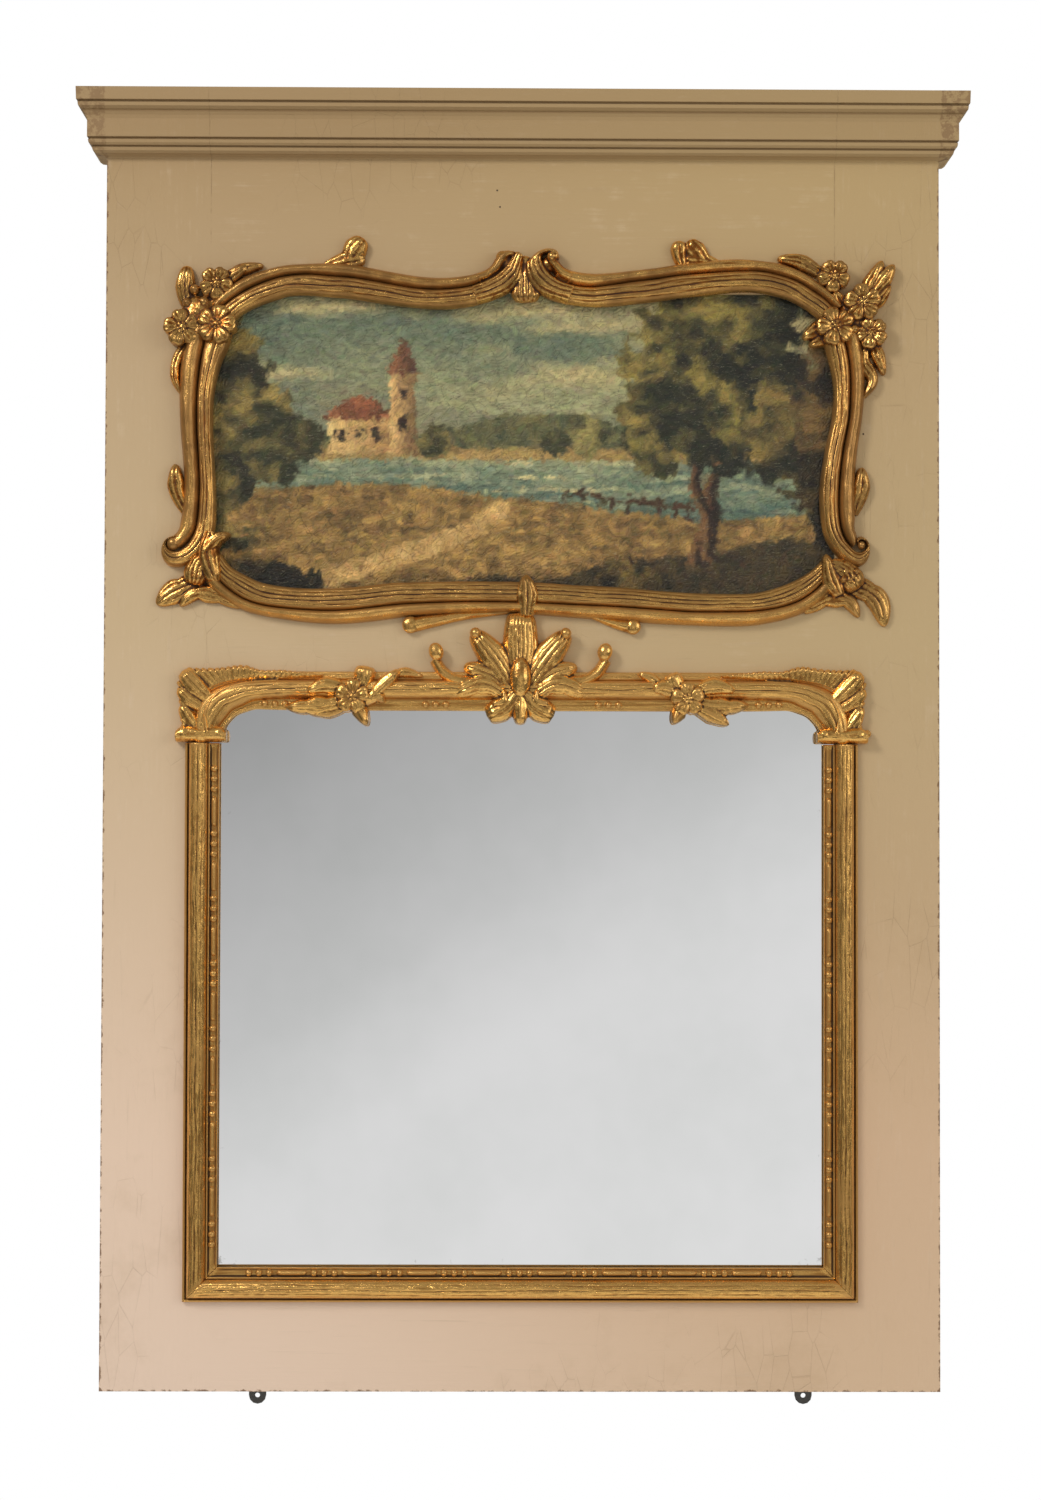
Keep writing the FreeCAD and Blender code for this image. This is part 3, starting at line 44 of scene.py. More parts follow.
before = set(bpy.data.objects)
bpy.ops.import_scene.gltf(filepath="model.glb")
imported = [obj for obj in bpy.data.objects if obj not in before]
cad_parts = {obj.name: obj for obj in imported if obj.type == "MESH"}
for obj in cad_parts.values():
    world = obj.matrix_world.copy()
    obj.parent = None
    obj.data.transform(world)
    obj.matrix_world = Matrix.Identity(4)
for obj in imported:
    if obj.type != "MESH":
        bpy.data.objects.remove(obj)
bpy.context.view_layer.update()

MM = 0.001
LEFT_LOW, LEFT_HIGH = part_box("left_stile")
RIGHT_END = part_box("right_stile")[1].x
CENTRE = (LEFT_LOW.x + RIGHT_END) / 2
HALF_WIDTH = RIGHT_END - CENTRE
STILE_EDGE = CENTRE - LEFT_HIGH.x
FACE = LEFT_LOW.y
MOULDING_LOW, MOULDING_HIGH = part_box("mirror_moulding_left")


# ------------------------------------------------------------------ lines and surfaces

def spot(right, up, out):
    """A point given in millimetres from the centre line, the wall screws and the panel face."""
    return Vector((CENTRE + right * MM, FACE - out * MM, up * MM))


def rough(x, y, seed=0):
    """Smooth uneven relief from -1 to 1 over two arrays of numbers."""
    column, row = np.floor(x).astype(np.int64), np.floor(y).astype(np.int64)
    across, along = x - column, y - row
    across, along = across * across * (3 - 2 * across), along * along * (3 - 2 * along)
    column_key, row_key, seed_key, spread = 374761393, 668265263, 974711, 1274126177

    def corner(right, up):
        key = (column + right) * column_key + (row + up) * row_key + seed * seed_key
        key = ((key ^ (key >> 13)) * spread) & 0xFFFFFFFF
        return ((key ^ (key >> 16)) & 0xFFFF) / 32767.5 - 1

    low = corner(0, 0) * (1 - across) + corner(1, 0) * across
    high = corner(0, 1) * (1 - across) + corner(1, 1) * across
    return low * (1 - along) + high * along


def layered(x, y, seed=0, layers=3):
    """Rough relief of several scales laid over each other."""
    total = sum(rough(x * 2 ** n, y * 2 ** n, seed + n) / 2 ** n for n in range(layers))
    return total / sum(1 / 2 ** n for n in range(layers))


def dome(share, power=2.3, fullness=0.55):
    """Rounded section: 0 at both edges and 1 in the middle."""
    return np.clip(1 - np.abs(2 * share - 1) ** power, 0, 1) ** fullness


def ease(value, low, high):
    """Smooth step from 0 at low to 1 at high."""
    share = np.clip((value - low) / (high - low), 0, 1)
    return share * share * (3 - 2 * share)


class Line:
    """A smooth line through rows of numbers, read at shares of its length."""

    STEPS = 14
    GLANCE = 0.004

    def __init__(self, rows, places=2):
        rows = np.array(rows, float)
        rows = np.vstack([2 * rows[0] - rows[1], rows, 2 * rows[-1] - rows[-2]])
        steps = np.linspace(0, 1, self.STEPS, endpoint=False)[:, None]
        parts = []
        for a, b, c, d in zip(rows, rows[1:], rows[2:], rows[3:]):
            parts.append(0.5 * (2 * b + (c - a) * steps + (2 * a - 5 * b + 4 * c - d) * steps ** 2
                                + (3 * b - a - 3 * c + d) * steps ** 3))
        dense = np.vstack(parts + [rows[-2]])
        middle = dense[:, :places].reshape(len(dense), -1, 2).mean(axis=1)
        run = np.concatenate([[0], np.cumsum(np.linalg.norm(np.diff(middle, axis=0), axis=1))])
        self.length = run[-1]
        self.shares = run / run[-1]
        self.rows = dense

    def __call__(self, share):
        return [np.interp(share, self.shares, column) for column in self.rows.T]

    def heading(self, share):
        ahead = self(np.clip(share + self.GLANCE, 0, 1))
        behind = self(np.clip(share - self.GLANCE, 0, 1))
        right, up = ahead[0] - behind[0], ahead[1] - behind[1]
        reach = np.maximum(np.hypot(right, up), 1e-9)
        return right / reach, up / reach

    def aside(self, share, reach):
        """Points that lie off the line by reach, to its left."""
        x, z = self(share)
        ahead_x, ahead_z = self.heading(share)
        return x - ahead_z * reach, z + ahead_x * reach


# ------------------------------------------------------------------ shader recipes

class Socket:
    """An output socket that takes part in arithmetic."""

    def __init__(self, recipe, socket):
        self.recipe = recipe
        self.socket = socket

    def output(self, key):
        """Another output of the same node."""
        return Socket(self.recipe, self.socket.node.outputs[key])

    def math(self, operation, *values):
        return self.recipe.node("ShaderNodeMath", {"operation": operation}, dict(enumerate(values)))

    def __add__(self, other):
        return self.math("ADD", self, other)

    def __sub__(self, other):
        return self.math("SUBTRACT", self, other)

    def __rsub__(self, other):
        return self.math("SUBTRACT", other, self)

    def __mul__(self, other):
        return self.math("MULTIPLY", self, other)

    def __abs__(self):
        return self.math("ABSOLUTE", self)

    __radd__ = __add__
    __rmul__ = __mul__


class Recipe:
    """The nodes of a material, or of the world, under construction."""

    def __init__(self, holder):
        holder.use_nodes = True
        self.holder = holder
        self.tree = holder.node_tree
        self.tree.nodes.clear()

    def node(self, kind, settings=None, inputs=None, output=0):
        """Any node: its settings first, then the values or links of its sockets."""
        node = self.tree.nodes.new(kind)
        for key, value in (settings or {}).items():
            if key == "stops":
                self.ramp(node.color_ramp, value)
            else:
                setattr(node, key, value)
        for key, value in (inputs or {}).items():
            socket = node.inputs[key]
            if isinstance(value, Socket):
                self.tree.links.new(value.socket, socket)
            elif socket.type == "RGBA":
                socket.default_value = (*value, 1.0)
            else:
                socket.default_value = value
        return Socket(self, node.outputs[output]) if node.outputs else None

    def ramp(self, ramp, stops):
        while len(ramp.elements) < len(stops):
            ramp.elements.new(0.5)
        for element, (position, colour) in zip(ramp.elements, stops):
            element.position = position
            element.color = (*colour, 1.0)

    def place(self):
        return self.node("ShaderNodeTexCoord", output="Object")

    def run(self):
        return self.node("ShaderNodeUVMap", {"uv_map": "run"})

    def parts(self, vector):
        split = self.node("ShaderNodeSeparateXYZ", {}, {0: vector})
        return [split.output(axis) for axis in "XYZ"]

    def stored(self, name, output="Fac"):
        return self.node("ShaderNodeAttribute", {"attribute_name": name}, output=output)

    def turned(self, vector, scale=(1, 1, 1), location=(0, 0, 0)):
        return self.node("ShaderNodeMapping", {}, {
            "Vector": vector, "Scale": scale, "Location": location})

    def noise(self, vector, scale, detail=3.0, roughness=0.55, distortion=0.0):
        return self.node("ShaderNodeTexNoise", {}, {
            "Vector": vector, "Scale": scale, "Detail": detail, "Roughness": roughness,
            "Distortion": distortion})

    def net(self, vector, scale):
        """Distance from the lines of an uneven net, for cracks."""
        return self.node("ShaderNodeTexVoronoi", {"feature": "DISTANCE_TO_EDGE"}, {
            "Vector": vector, "Scale": scale}, "Distance")

    def threads(self, vector, direction, scale, distortion, detail):
        return self.node("ShaderNodeTexWave", {"bands_direction": direction}, {
            "Vector": vector, "Scale": scale, "Distortion": distortion, "Detail": detail})

    def step(self, value, low, high, start=0.0, end=1.0):
        return self.node("ShaderNodeMapRange", {"interpolation_type": "SMOOTHSTEP"}, {
            "Value": value, "From Min": low, "From Max": high, "To Min": start, "To Max": end})

    def fade(self, value, low, high):
        """1 below low and 0 above high."""
        return self.step(value, low, high, 1.0, 0.0)

    def mix(self, first, second, factor):
        return self.node("ShaderNodeMix", {"data_type": "RGBA"}, {0: factor, 6: first, 7: second}, 2)

    def bump(self, height, distance, strength):
        return self.node("ShaderNodeBump", {}, {
            "Height": height, "Distance": distance, "Strength": strength})

    def finish(self, **inputs):
        named = {key.replace("_", " "): value for key, value in inputs.items()}
        shader = self.node("ShaderNodeBsdfPrincipled", {}, named, "BSDF")
        self.node("ShaderNodeOutputMaterial", {}, {"Surface": shader})
        return self.holder


def new_material(name):
    return Recipe(bpy.data.materials.new(name))


def linear(shade):
    """A channel as seen on a screen, 0 to 1, as Blender's linear number."""
    return np.where(shade <= 0.04045, shade / 12.92, ((shade + 0.055) / 1.055) ** 2.4)


def ink(red, green, blue):
    """A colour as seen on a screen, 0 to 255, as Blender's linear numbers."""
    return tuple(float(linear(value / 255)) for value in (red, green, blue))


# ------------------------------------------------------------------ finishes

# Paint tones from the foot (0) to the top (1) of the panel, on the left and on the right: darker and
# yellower high up, lighter and pinker low on the left. They are partly the paint's own tone and partly
# painted light and shade.
LEFT_TONES = (
    (0.0, ink(227, 200, 176)), (0.2, ink(226, 198, 172)), (0.42, ink(209, 182, 150)),
    (0.62, ink(194, 168, 129)), (0.82, ink(184, 157, 119)), (1.0, ink(166, 137, 95)),
)
RIGHT_TONES = (
    (0.0, ink(210, 179, 145)), (0.2, ink(207, 174, 139)), (0.42, ink(190, 161, 121)),
    (0.62, ink(186, 160, 116)), (0.82, ink(181, 153, 110)), (1.0, ink(179, 151, 103)),
)
TONES_HEIGHT = 1.5
CORNICE_QUIRKS = (1.5535, 1.5435, 1.5125, 1.5030)
NAIL_HOLES = ((-0.0445, 1.4552), (-0.0411, 1.4352), (0.3975, 1.1620))


def gilding(name, streaked, settings):
    """Old water gilding: bright rubbed leaf, red bole on the edges and brown glaze in the hollows, with
    painted light on the lower carving and painted shade in patches on the upper.
    """
    r = new_material(name)
    place = r.place()
    hollow = r.stored("hollow")
    cloud = r.noise(place, 34.0, 4.0, 0.6)
    patch = r.noise(r.turned(place, location=(3.1, 0.4, 7.7)), 9.0, 3.0, 0.6)
    speck = r.noise(place, 420.0, 3.0, 0.6)
    # Painted light: lower is 1 below 0.90 m and 0 above 1.0 m. The lower carving gets more rubbed leaf, less
    # glaze and a wash of bright gold.
    lower = r.fade(r.parts(place)[2], 0.90, 1.0)
    if streaked:
        run = r.run()
        streak = r.noise(r.turned(run, (15.0, 430.0, 1.0)), 1.0, 5.0, 0.68, 0.35)
        wide = r.noise(r.turned(run, (5.0, 150.0, 1.0)), 1.0, 3.0, 0.6, 0.3)
        drag = streak * 0.6 + wide * 0.4
    else:
        drag = r.noise(place, 170.0, 4.0, 0.68, 0.5) * 0.6 + cloud * 0.4
    # Rubbed-bright leaf in streaks, less of it in the hollows, and a little more on the lower carving as
    # painted light.
    shine = drag * 0.72 + patch * 0.16 + cloud * 0.12 - hollow * 0.22 + lower * 0.025
    shine = r.step(shine, 0.435, 0.575)
    # Brown glaze in the hollows and in random patches, with less of it on the lower carving as painted
    # light.
    grime_and_shade = hollow * 1.5 + cloud * 0.45 - drag * 0.35 + patch * 0.2 - lower * 0.10
    grime_and_shade = r.step(grime_and_shade, 0.20, 0.90)
    bole = r.step(patch * 0.6 + speck * 0.25 - hollow * 0.35 + cloud * 0.3, 0.58, 0.80)
    leaf = r.mix(settings.dull_gold, settings.bright_gold, shine)
    leaf = r.mix(leaf, settings.bole, bole * 0.6)
    # Painted light: the lower carving is washed with bright gold.
    leaf = r.mix(leaf, settings.bright_gold, lower * 0.34)
    # Painted shade: the upper carving, above about 0.9 m, is darkened with glaze brown in patches.
    dimmed = r.step(patch * 0.5 + cloud * 0.5, 0.38, 0.66) * (1.0 - lower)
    leaf = r.mix(leaf, settings.glaze, dimmed * 0.42)
    relief = drag * 0.75 + speck * 0.25
    return r.finish(Base_Color=r.mix(leaf, settings.glaze, grime_and_shade * 0.93),
                    Metallic=0.96 - grime_and_shade * 0.55 - bole * 0.25,
                    Roughness=0.31 - shine * 0.09 + grime_and_shade * 0.30 + bole * 0.10,
                    Normal=r.bump(relief, 0.0014 if streaked else 0.0010, 0.8))


def distemper(settings):
    """Aged stone-coloured paint on pine, darker at the top and lighter and pinker low on the left, partly as
    painted light and shade; bare wood behind.
    """
    r = new_material("aged_distemper")
    place = r.place()
    right, depth, up = r.parts(place)
    from_centre = abs(right - CENTRE)
    # Painted light and shade as well as paint tone: darker at the top, lighter low on the left.
    height = r.node("ShaderNodeMapRange", {}, {"Value": up, "From Max": TONES_HEIGHT})
    left_tone = r.node("ShaderNodeValToRGB", {"stops": LEFT_TONES}, {"Fac": height})
    right_tone = r.node("ShaderNodeValToRGB", {"stops": RIGHT_TONES}, {"Fac": height})
    tone = r.mix(left_tone, right_tone, r.step(right, -0.45, 0.42))

    cloud = r.noise(place, 5.0, 5.0, 0.62)
    mottle = r.noise(place, 38.0, 5.0, 0.68)
    brush_up = r.noise(r.turned(place, (210.0, 210.0, 9.0)), 1.0, 4.0, 0.6, 0.2)
    brush_across = r.noise(r.turned(place, (9.0, 210.0, 210.0)), 1.0, 4.0, 0.6, 0.2)
    on_stile = r.step(from_centre, STILE_EDGE - 0.003, STILE_EDGE + 0.003)
    strokes = r.node("ShaderNodeMix", {"data_type": "FLOAT"}, {0: on_stile, 2: brush_across, 3: brush_up})
    tone = r.mix(tone, ink(160, 130, 88), r.step(cloud * 0.7 + mottle * 0.3, 0.50, 0.78) * 0.30)
    tone = r.mix(tone, ink(226, 205, 178), r.step(mottle * 0.5 + strokes * 0.5, 0.52, 0.80) * 0.26)
    tone = r.mix(tone, ink(134, 104, 66), r.step(strokes, 0.60, 0.86) * 0.22)

    crack = r.net(r.turned(place, (5.0, 5.0, 1.6)), 9.0)
    crack = r.fade(crack, 0.0, 0.012) * r.step(cloud, 0.50, 0.62)
    joint = r.fade(abs(from_centre - STILE_EDGE), 0.0002, 0.0009) * r.step(mottle, 0.36, 0.62)
    joint = joint * r.step(up, 1.325, 1.335)
    tone = r.mix(tone, ink(118, 88, 54), crack * 0.16 + joint * 0.34)

    edge = r.step(from_centre, HALF_WIDTH - 0.0055, HALF_WIDTH - 0.0003)
    low = r.fade(up, LEFT_LOW.z - 0.0005, LEFT_LOW.z + 0.007)
    arris = r.fade(depth, FACE + 0.0016, FACE + 0.0045)
    chips = r.noise(place, 120.0, 4.0, 0.7)
    worn = r.step((edge + low) * arris * 0.42 + chips, 0.84, 0.98)
    tone = r.mix(tone, ink(112, 78, 46), worn * 0.85)

    quirk = sum(r.fade(abs(up - level), 0.0004, 0.0018) for level in CORNICE_QUIRKS)
    cornice = r.fade(depth, FACE - 0.003, FACE - 0.0015)
    tone = r.mix(tone, ink(92, 66, 36), quirk * cornice * 0.62)
    tone = r.mix(tone, ink(150, 121, 80), cornice * 0.55)
    holes = 0.0
    for x, z in NAIL_HOLES:
        gap = r.node("ShaderNodeVectorMath", {"operation": "DISTANCE"}, {0: place, 1: (x, FACE, z)}, "Value")
        holes = holes + r.fade(gap, 0.0007, 0.0015)
    tone = r.mix(tone, ink(46, 30, 16), holes * 0.9)

    grain = r.noise(r.turned(place, (170.0, 170.0, 5.0)), 1.0, 4.0, 0.6, 0.6)
    wood = r.mix(settings.old_pine, settings.pine_grain, r.step(grain, 0.38, 0.70))
    facing_wall = r.parts(r.node("ShaderNodeNewGeometry", output="Normal"))[1]
    relief = strokes * 0.5 + mottle * 0.35 - crack * 0.5 - joint - holes
    return r.finish(Base_Color=r.mix(tone, wood, r.step(facing_wall, 0.35, 0.6)),
                    Roughness=0.62 + mottle * 0.22, Normal=r.bump(relief, 0.0009, 0.55))


def bare_pine(name, settings, stretch):
    """Planed pine darkened with age; the grain runs along the axis with the small number."""
    r = new_material(name)
    place = r.place()
    warped = r.noise(r.turned(place, tuple(s * 0.12 for s in stretch)), 1.0, 2.0, 0.5)
    grain = r.noise(r.turned(place, stretch), 1.0, 5.0, 0.62, 0.7)
    late = r.step(grain * 0.8 + warped * 0.35, 0.50, 0.66)
    stain = r.noise(place, 7.0, 4.0, 0.6)
    colour = r.mix(settings.old_pine, settings.pine_grain, late)
    colour = r.mix(colour, ink(86, 60, 38), r.step(stain, 0.48, 0.74) * 0.5)
    return r.finish(Base_Color=colour, Roughness=0.66 + late * 0.12, Normal=r.bump(grain, 0.0008, 0.6))


def worn_steel(name, base, rust_share):
    """Dark iron with bloom and rust in its pits."""
    r = new_material(name)
    place = r.place()
    bloom = r.noise(place, 90.0, 5.0, 0.65)
    pits = r.noise(place, 700.0, 3.0, 0.6)
    rust = r.step(bloom * 0.7 + pits * 0.3, 0.62 - rust_share, 0.80 - rust_share)
    return r.finish(Base_Color=r.mix(base, ink(96, 60, 38), rust * 0.8), Metallic=0.9 - rust * 0.8,
                    Roughness=0.38 + rust * 0.4, Normal=r.bump(pits * 0.6 + bloom * 0.4, 0.0004, 0.6))


def silvering():
    """Old mercury-tinned plate: clear, with a faint veil and tired edges."""
    r = new_material("silvering")
    place = r.place()
    right, _, up = r.parts(place)
    sight = CENTRE - MOULDING_HIGH.x
    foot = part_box("mirror_moulding_bottom")[1].z
    veil = r.noise(place, 3.2, 4.0, 0.6)
    foxing = r.noise(place, 95.0, 5.0, 0.7)
    side = r.step(abs(right - CENTRE), sight - 0.032, sight + 0.004)
    low = r.fade(up, foot + 0.001, foot + 0.023)
    tired = r.step(foxing + (side + low) * 0.18, 0.78, 0.92)
    colour = r.mix((0.93, 0.93, 0.93), (0.84, 0.85, 0.84), r.step(veil, 0.35, 0.75))
    colour = r.mix(colour, (0.42, 0.40, 0.36), tired * 0.5)
    return r.finish(Base_Color=colour, Metallic=1.0, Roughness=0.015 + tired * 0.2 + veil * 0.01)


def oil_paint():
    """Aged oil on a fine canvas: dragged strokes, weave, craquelure and a brown varnish."""
    r = new_material("oil_on_canvas")
    run = r.run()
    paint = r.stored("paint", "Color")
    bristle = r.noise(r.turned(run, (160.0, 620.0, 1.0)), 1.0, 4.0, 0.65, 1.2)
    dab = r.noise(r.turned(run, (330.0, 260.0, 1.0)), 1.0, 3.0, 0.6, 0.8)
    paint = r.mix(paint, ink(214, 204, 164), r.step(bristle, 0.56, 0.74) * 0.30)
    paint = r.mix(paint, ink(30, 28, 20), r.step(dab, 0.54, 0.74) * 0.34)
    crackle = r.fade(r.net(run, 62.0), 0.0, 0.030) * r.step(dab, 0.40, 0.55)
    paint = r.mix(paint, ink(34, 28, 18), crackle * 0.35)
    weave = r.threads(run, "X", 260.0, 0.6, 1.0) + r.threads(run, "Y", 260.0, 0.6, 1.0)
    relief = r.stored("impasto") * 0.9 + bristle * 0.5 + weave * 0.12 - crackle * 0.3
    return r.finish(Base_Color=paint, Roughness=0.34 + bristle * 0.2, Coat_Weight=0.35,
                    Coat_Roughness=0.16, Normal=r.bump(relief, 0.0020, 0.9))


def raw_linen():
    """Unpainted back of the canvas, brown with dust."""
    r = new_material("raw_linen")
    place = r.place()
    warp = r.threads(place, "X", 210.0, 1.2, 2.0)
    weft = r.threads(place, "Z", 210.0, 1.2, 2.0)
    dust = r.noise(place, 12.0, 4.0, 0.6)
    colour = r.mix(ink(152, 126, 92), ink(112, 86, 58), warp * 0.4 + weft * 0.3)
    colour = r.mix(colour, ink(92, 72, 50), r.step(dust, 0.45, 0.75) * 0.5)
    return r.finish(Base_Color=colour, Roughness=0.9, Normal=r.bump(warp + weft, 0.0004, 0.7))


# ------------------------------------------------------------------ carving

class Carving:
    """A carved piece in the making, which stands for a CAD node: closed forms on the panel face,
    in millimetres."""

    def __init__(self, node):
        self.node = node
        self.mesh = bmesh.new()
        self.run = self.mesh.loops.layers.uv.new("run")
        self.mesh.verts.layers.float.new("soil")

    def relief(self, along, across, shape, ground=0.0, size=(100.0, 20.0)):
        """A closed form whose front is shape(s, t), its back flat on the ground; a shape may
        give the share of dirt that has settled on it as well."""
        back = bmesh.ops.create_grid(self.mesh, x_segments=along, y_segments=across, size=0.5)["verts"]
        faces = list(dict.fromkeys(face for vert in back for face in vert.link_faces))
        for face in faces:
            for loop in face.loops:
                loop[self.run].uv = ((loop.vert.co.x + 0.5) * size[0] * MM,
                                     (loop.vert.co.y + 0.5) * size[1] * MM)
        made = bmesh.ops.extrude_face_region(self.mesh, geom=faces)
        front = [item for item in made["geom"] if isinstance(item, bmesh.types.BMVert)]
        soil = self.mesh.verts.layers.float["soil"]
        for verts, on_ground in ((front, False), (back, True)):
            flat = np.array([vert.co.xy for vert in verts])
            right, up, out, *dirt = shape(flat[:, 0] + 0.5, flat[:, 1] + 0.5)
            if on_ground:
                out = np.full(len(verts), float(ground))
            else:
                out = np.maximum(out, ground + 0.2)
            if dirt:
                for vert, share in zip(verts, dirt[0]):
                    vert[soil] = share
            for vert, x, z, y in zip(verts, right, up, out):
                vert.co = spot(x, z, y)

    def ribbon(self, stations, height, edges=(1.0, 1.0), peak=0.5, power=2.2, fullness=0.55,
               gouges=0.4, ridges=0, ridge_depth=0.5, fine=1.3, across=22, seed=1, dirt=0.0):
        """A strand between two lines; a station is (right, up) on one line and on the other."""
        line = Line(stations, 4)
        wide = max(math.hypot(c - a, d - b) for a, b, c, d in stations)

        def shape(s, t):
            x0, z0, x1, z1 = line(s)
            swell = dome(t ** (math.log(0.5) / math.log(peak)), power, fullness)
            out = edges[0] * (1 - t) + edges[1] * t + height * swell
            marks = rough(s * line.length / 16, t * wide / 1.9, seed)
            marks += 0.6 * rough(s * line.length / 7, t * wide / 1.1, seed + 5)
            out += gouges * marks * swell
            if ridges:
                wander = t * ridges + 0.25 * rough(s * line.length / 40, t * 2, seed + 9)
                out -= ridge_depth * swell * (0.5 + 0.5 * np.cos(2 * np.pi * wander)) ** 3
            edge_dirt = 0.25 * (1 - ease(np.minimum(t, 1 - t), 0.0, 0.06))
            return x0 + (x1 - x0) * t, z0 + (z1 - z0) * t, out, edge_dirt + dirt

        self.relief(max(8, round(line.length / fine)), across, shape, size=(line.length, wide))

    def leaf(self, points, width, height, ribs=3, tip=0.45, broad=0.5, low=0.6, depth=1.7,
             lobes=0, lobe_depth=0.22):
        """A fluted leaf along a line from its root to its tip, widest at the share called broad."""
        line = Line(points)

        def shape(s, t):
            side = 2 * t - 1
            swell = np.clip(s / broad, 0, 1) ** 0.7
            close = np.clip((1 - s) / (1 - broad), 0, 1) ** tip
            half = width / 2 * (0.5 + 0.5 * swell) * close
            if lobes:
                half = half * (1 - lobe_depth * (1 - np.abs(np.sin(np.pi * lobes * s)) ** 0.6))
            rise = height * (low + (1 - low) * np.sin(np.pi / 2 * np.clip(s / 0.8, 0, 1)))
            rise = rise - height * 0.45 * np.clip(s - 0.8, 0, 1) ** 2 * 25
            out = rise * (0.3 + 0.7 * (1 - np.abs(side) ** 2.6) ** 0.5)
            out -= depth * (1 - np.abs(np.sin(np.pi * ribs * t)) ** 0.7) * (1 - 0.5 * np.abs(side))
            out += 0.3 * rough(s * line.length / 6, t * width / 2.5, 3)
            return *line.aside(s, side * half), out

        self.relief(max(10, round(line.length / 1.2)), max(12, round(width / 0.95)), shape)

    def fan(self, stations, low, high, ribs, depth, scallop, seed):
        """A fluted fringe: a station is (right, up) at the foot and (right, up) at the rim."""
        line = Line(stations, 4)

        def shape(s, t):
            x0, z0, x1, z1 = line(s)
            wander = s * ribs + 0.18 * rough(s * ribs * 0.7, s * 0, seed)
            crest = np.abs(np.sin(np.pi * wander))
            reach = t * (1 - scallop * (1 - crest ** 0.7) * t)
            out = (low + (high - low) * np.sin(np.pi / 2 * t)) * (1 - 0.45 * np.clip(t - 0.82, 0, 1) * 5.5)
            out -= depth * (1 - crest ** 0.6) * (0.35 + 0.65 * t)
            out += 0.35 * rough(s * line.length / 5, t * 3, seed + 3)
            return x0 + (x1 - x0) * reach, z0 + (z1 - z0) * reach, out

        self.relief(max(30, ribs * 9), 16, shape)

    def flower(self, centre, radius, out, turn, tilt=(0.0, 0.0)):
        """Open flower: five fluted petals round a beaded heart, leaning by tilt over its width."""
        petals, beads, cup = 5, 6, 4.0
        heart = out + cup * 0.2
        for petal in range(petals):
            start = math.radians(turn + 360 / petals * petal)

            def shape(s, t, start=start):
                side = 2 * t - 1
                angle = start + side * math.pi / petals * 1.02
                reach = radius * s * (1.02 - 0.26 * np.abs(side) ** 2.6 - 0.06 * np.exp(-(side / 0.16) ** 2))
                across, up = reach * np.cos(angle), reach * np.sin(angle)
                rise = out - 3.0 + cup * np.sin(np.pi * s * 0.60) - 3.2 * s ** 7
                rise -= 2.2 * np.abs(side) ** 6 * ease(s, 0.1, 0.5)
                rise -= 1.3 * (1 - np.abs(np.sin(np.pi * t * 3)) ** 0.7) * ease(s, 0.25, 0.6)
                rise += across / radius * tilt[0] + up / radius * tilt[1]
                return centre[0] + across, centre[1] + up, rise

            self.relief(16, 20, shape)
        self.knob(centre, radius * 0.20, heart, out * 0.5)
        for bead in range(beads):
            angle = math.radians(360 / beads * bead + 12)
            spread = radius * 0.21
            self.knob((centre[0] + spread * math.cos(angle), centre[1] + spread * math.sin(angle)),
                      radius * 0.10, heart + 0.5, out * 0.5)

    def knob(self, centre, radius, out, low=0.0, stretch=1.0, turn=0.0, sides=14):
        """Rounded button whose top stands at out, reaching down to low. It is made in a mesh of
        its own, because the sphere operator is slow in a large one."""
        half = (out - low) / 2
        matrix = (Matrix.Translation(spot(centre[0], centre[1], low + half))
                  @ Matrix.Rotation(-math.radians(turn), 4, "Y")
                  @ Matrix.Diagonal((radius * stretch * MM, half * MM, radius * MM, 1)))
        button = bmesh.new()
        bmesh.ops.create_uvsphere(button, u_segments=sides, v_segments=max(8, sides * 3 // 4),
                                  radius=1, matrix=matrix)
        data = bpy.data.meshes.new("button")
        button.to_mesh(data)
        button.free()
        self.mesh.from_mesh(data)
        bpy.data.meshes.remove(data)

    def stem(self, points, width, height, taper, ridges=0):
        """A round stem along a line, narrowing to its tip."""
        line = Line(points)

        def shape(s, t):
            reach = (2 * t - 1) * width / 2 * (1 - (1 - taper) * s)
            out = height * (1 - (1 - taper) * 0.5 * s) * dome(t, 2.1)
            if ridges:
                out -= 0.6 * (0.5 + 0.5 * np.cos(2 * np.pi * t * ridges)) ** 2 * dome(t)
            out += 0.25 * rough(s * line.length / 9, t * width / 3, 4)
            return *line.aside(s, reach), out

        self.relief(max(8, round(line.length / 1.3)), 14, shape)

    def made(self):
        """The forms as a piece."""
        bmesh.ops.recalc_face_normals(self.mesh, faces=self.mesh.faces)
        return new_piece(self.node + "_carved", self.mesh)

    def finish(self):
        """Makes a moulding: its strands stay apart, and the gilding is streaked along them."""
        piece = self.made()
        mark_hollows(piece.data, 16)
        dress(piece, gilded("run_gilding", True), [self.node])

    def fuse(self):
        """Makes a carving: its forms are fused into one skin, softened as by gesso."""
        carving = bpy.context.scene.trumeau_carving
        piece = self.made()
        skin = piece.modifiers.new("fuse", "REMESH")
        skin.mode = "VOXEL"
        skin.voxel_size = carving.grain * MM
        smooth = piece.modifiers.new("soften", "SMOOTH")
        smooth.factor = 0.5
        smooth.iterations = carving.softening
        graph = bpy.context.evaluated_depsgraph_get()
        piece.data = bpy.data.meshes.new_from_object(piece.evaluated_get(graph))
        piece.modifiers.clear()
        piece.data.shade_smooth()
        mark_hollows(piece.data, 12)
        dress(piece, gilded("carved_gilding", False), [self.node])


def new_piece(name, form):
    """An object of a bmesh, which is used up."""
    data = bpy.data.meshes.new(name)
    form.to_mesh(data)
    form.free()
    data.shade_smooth()
    piece = bpy.data.objects.new(name, data)
    bpy.context.scene.collection.objects.link(piece)
    return piece


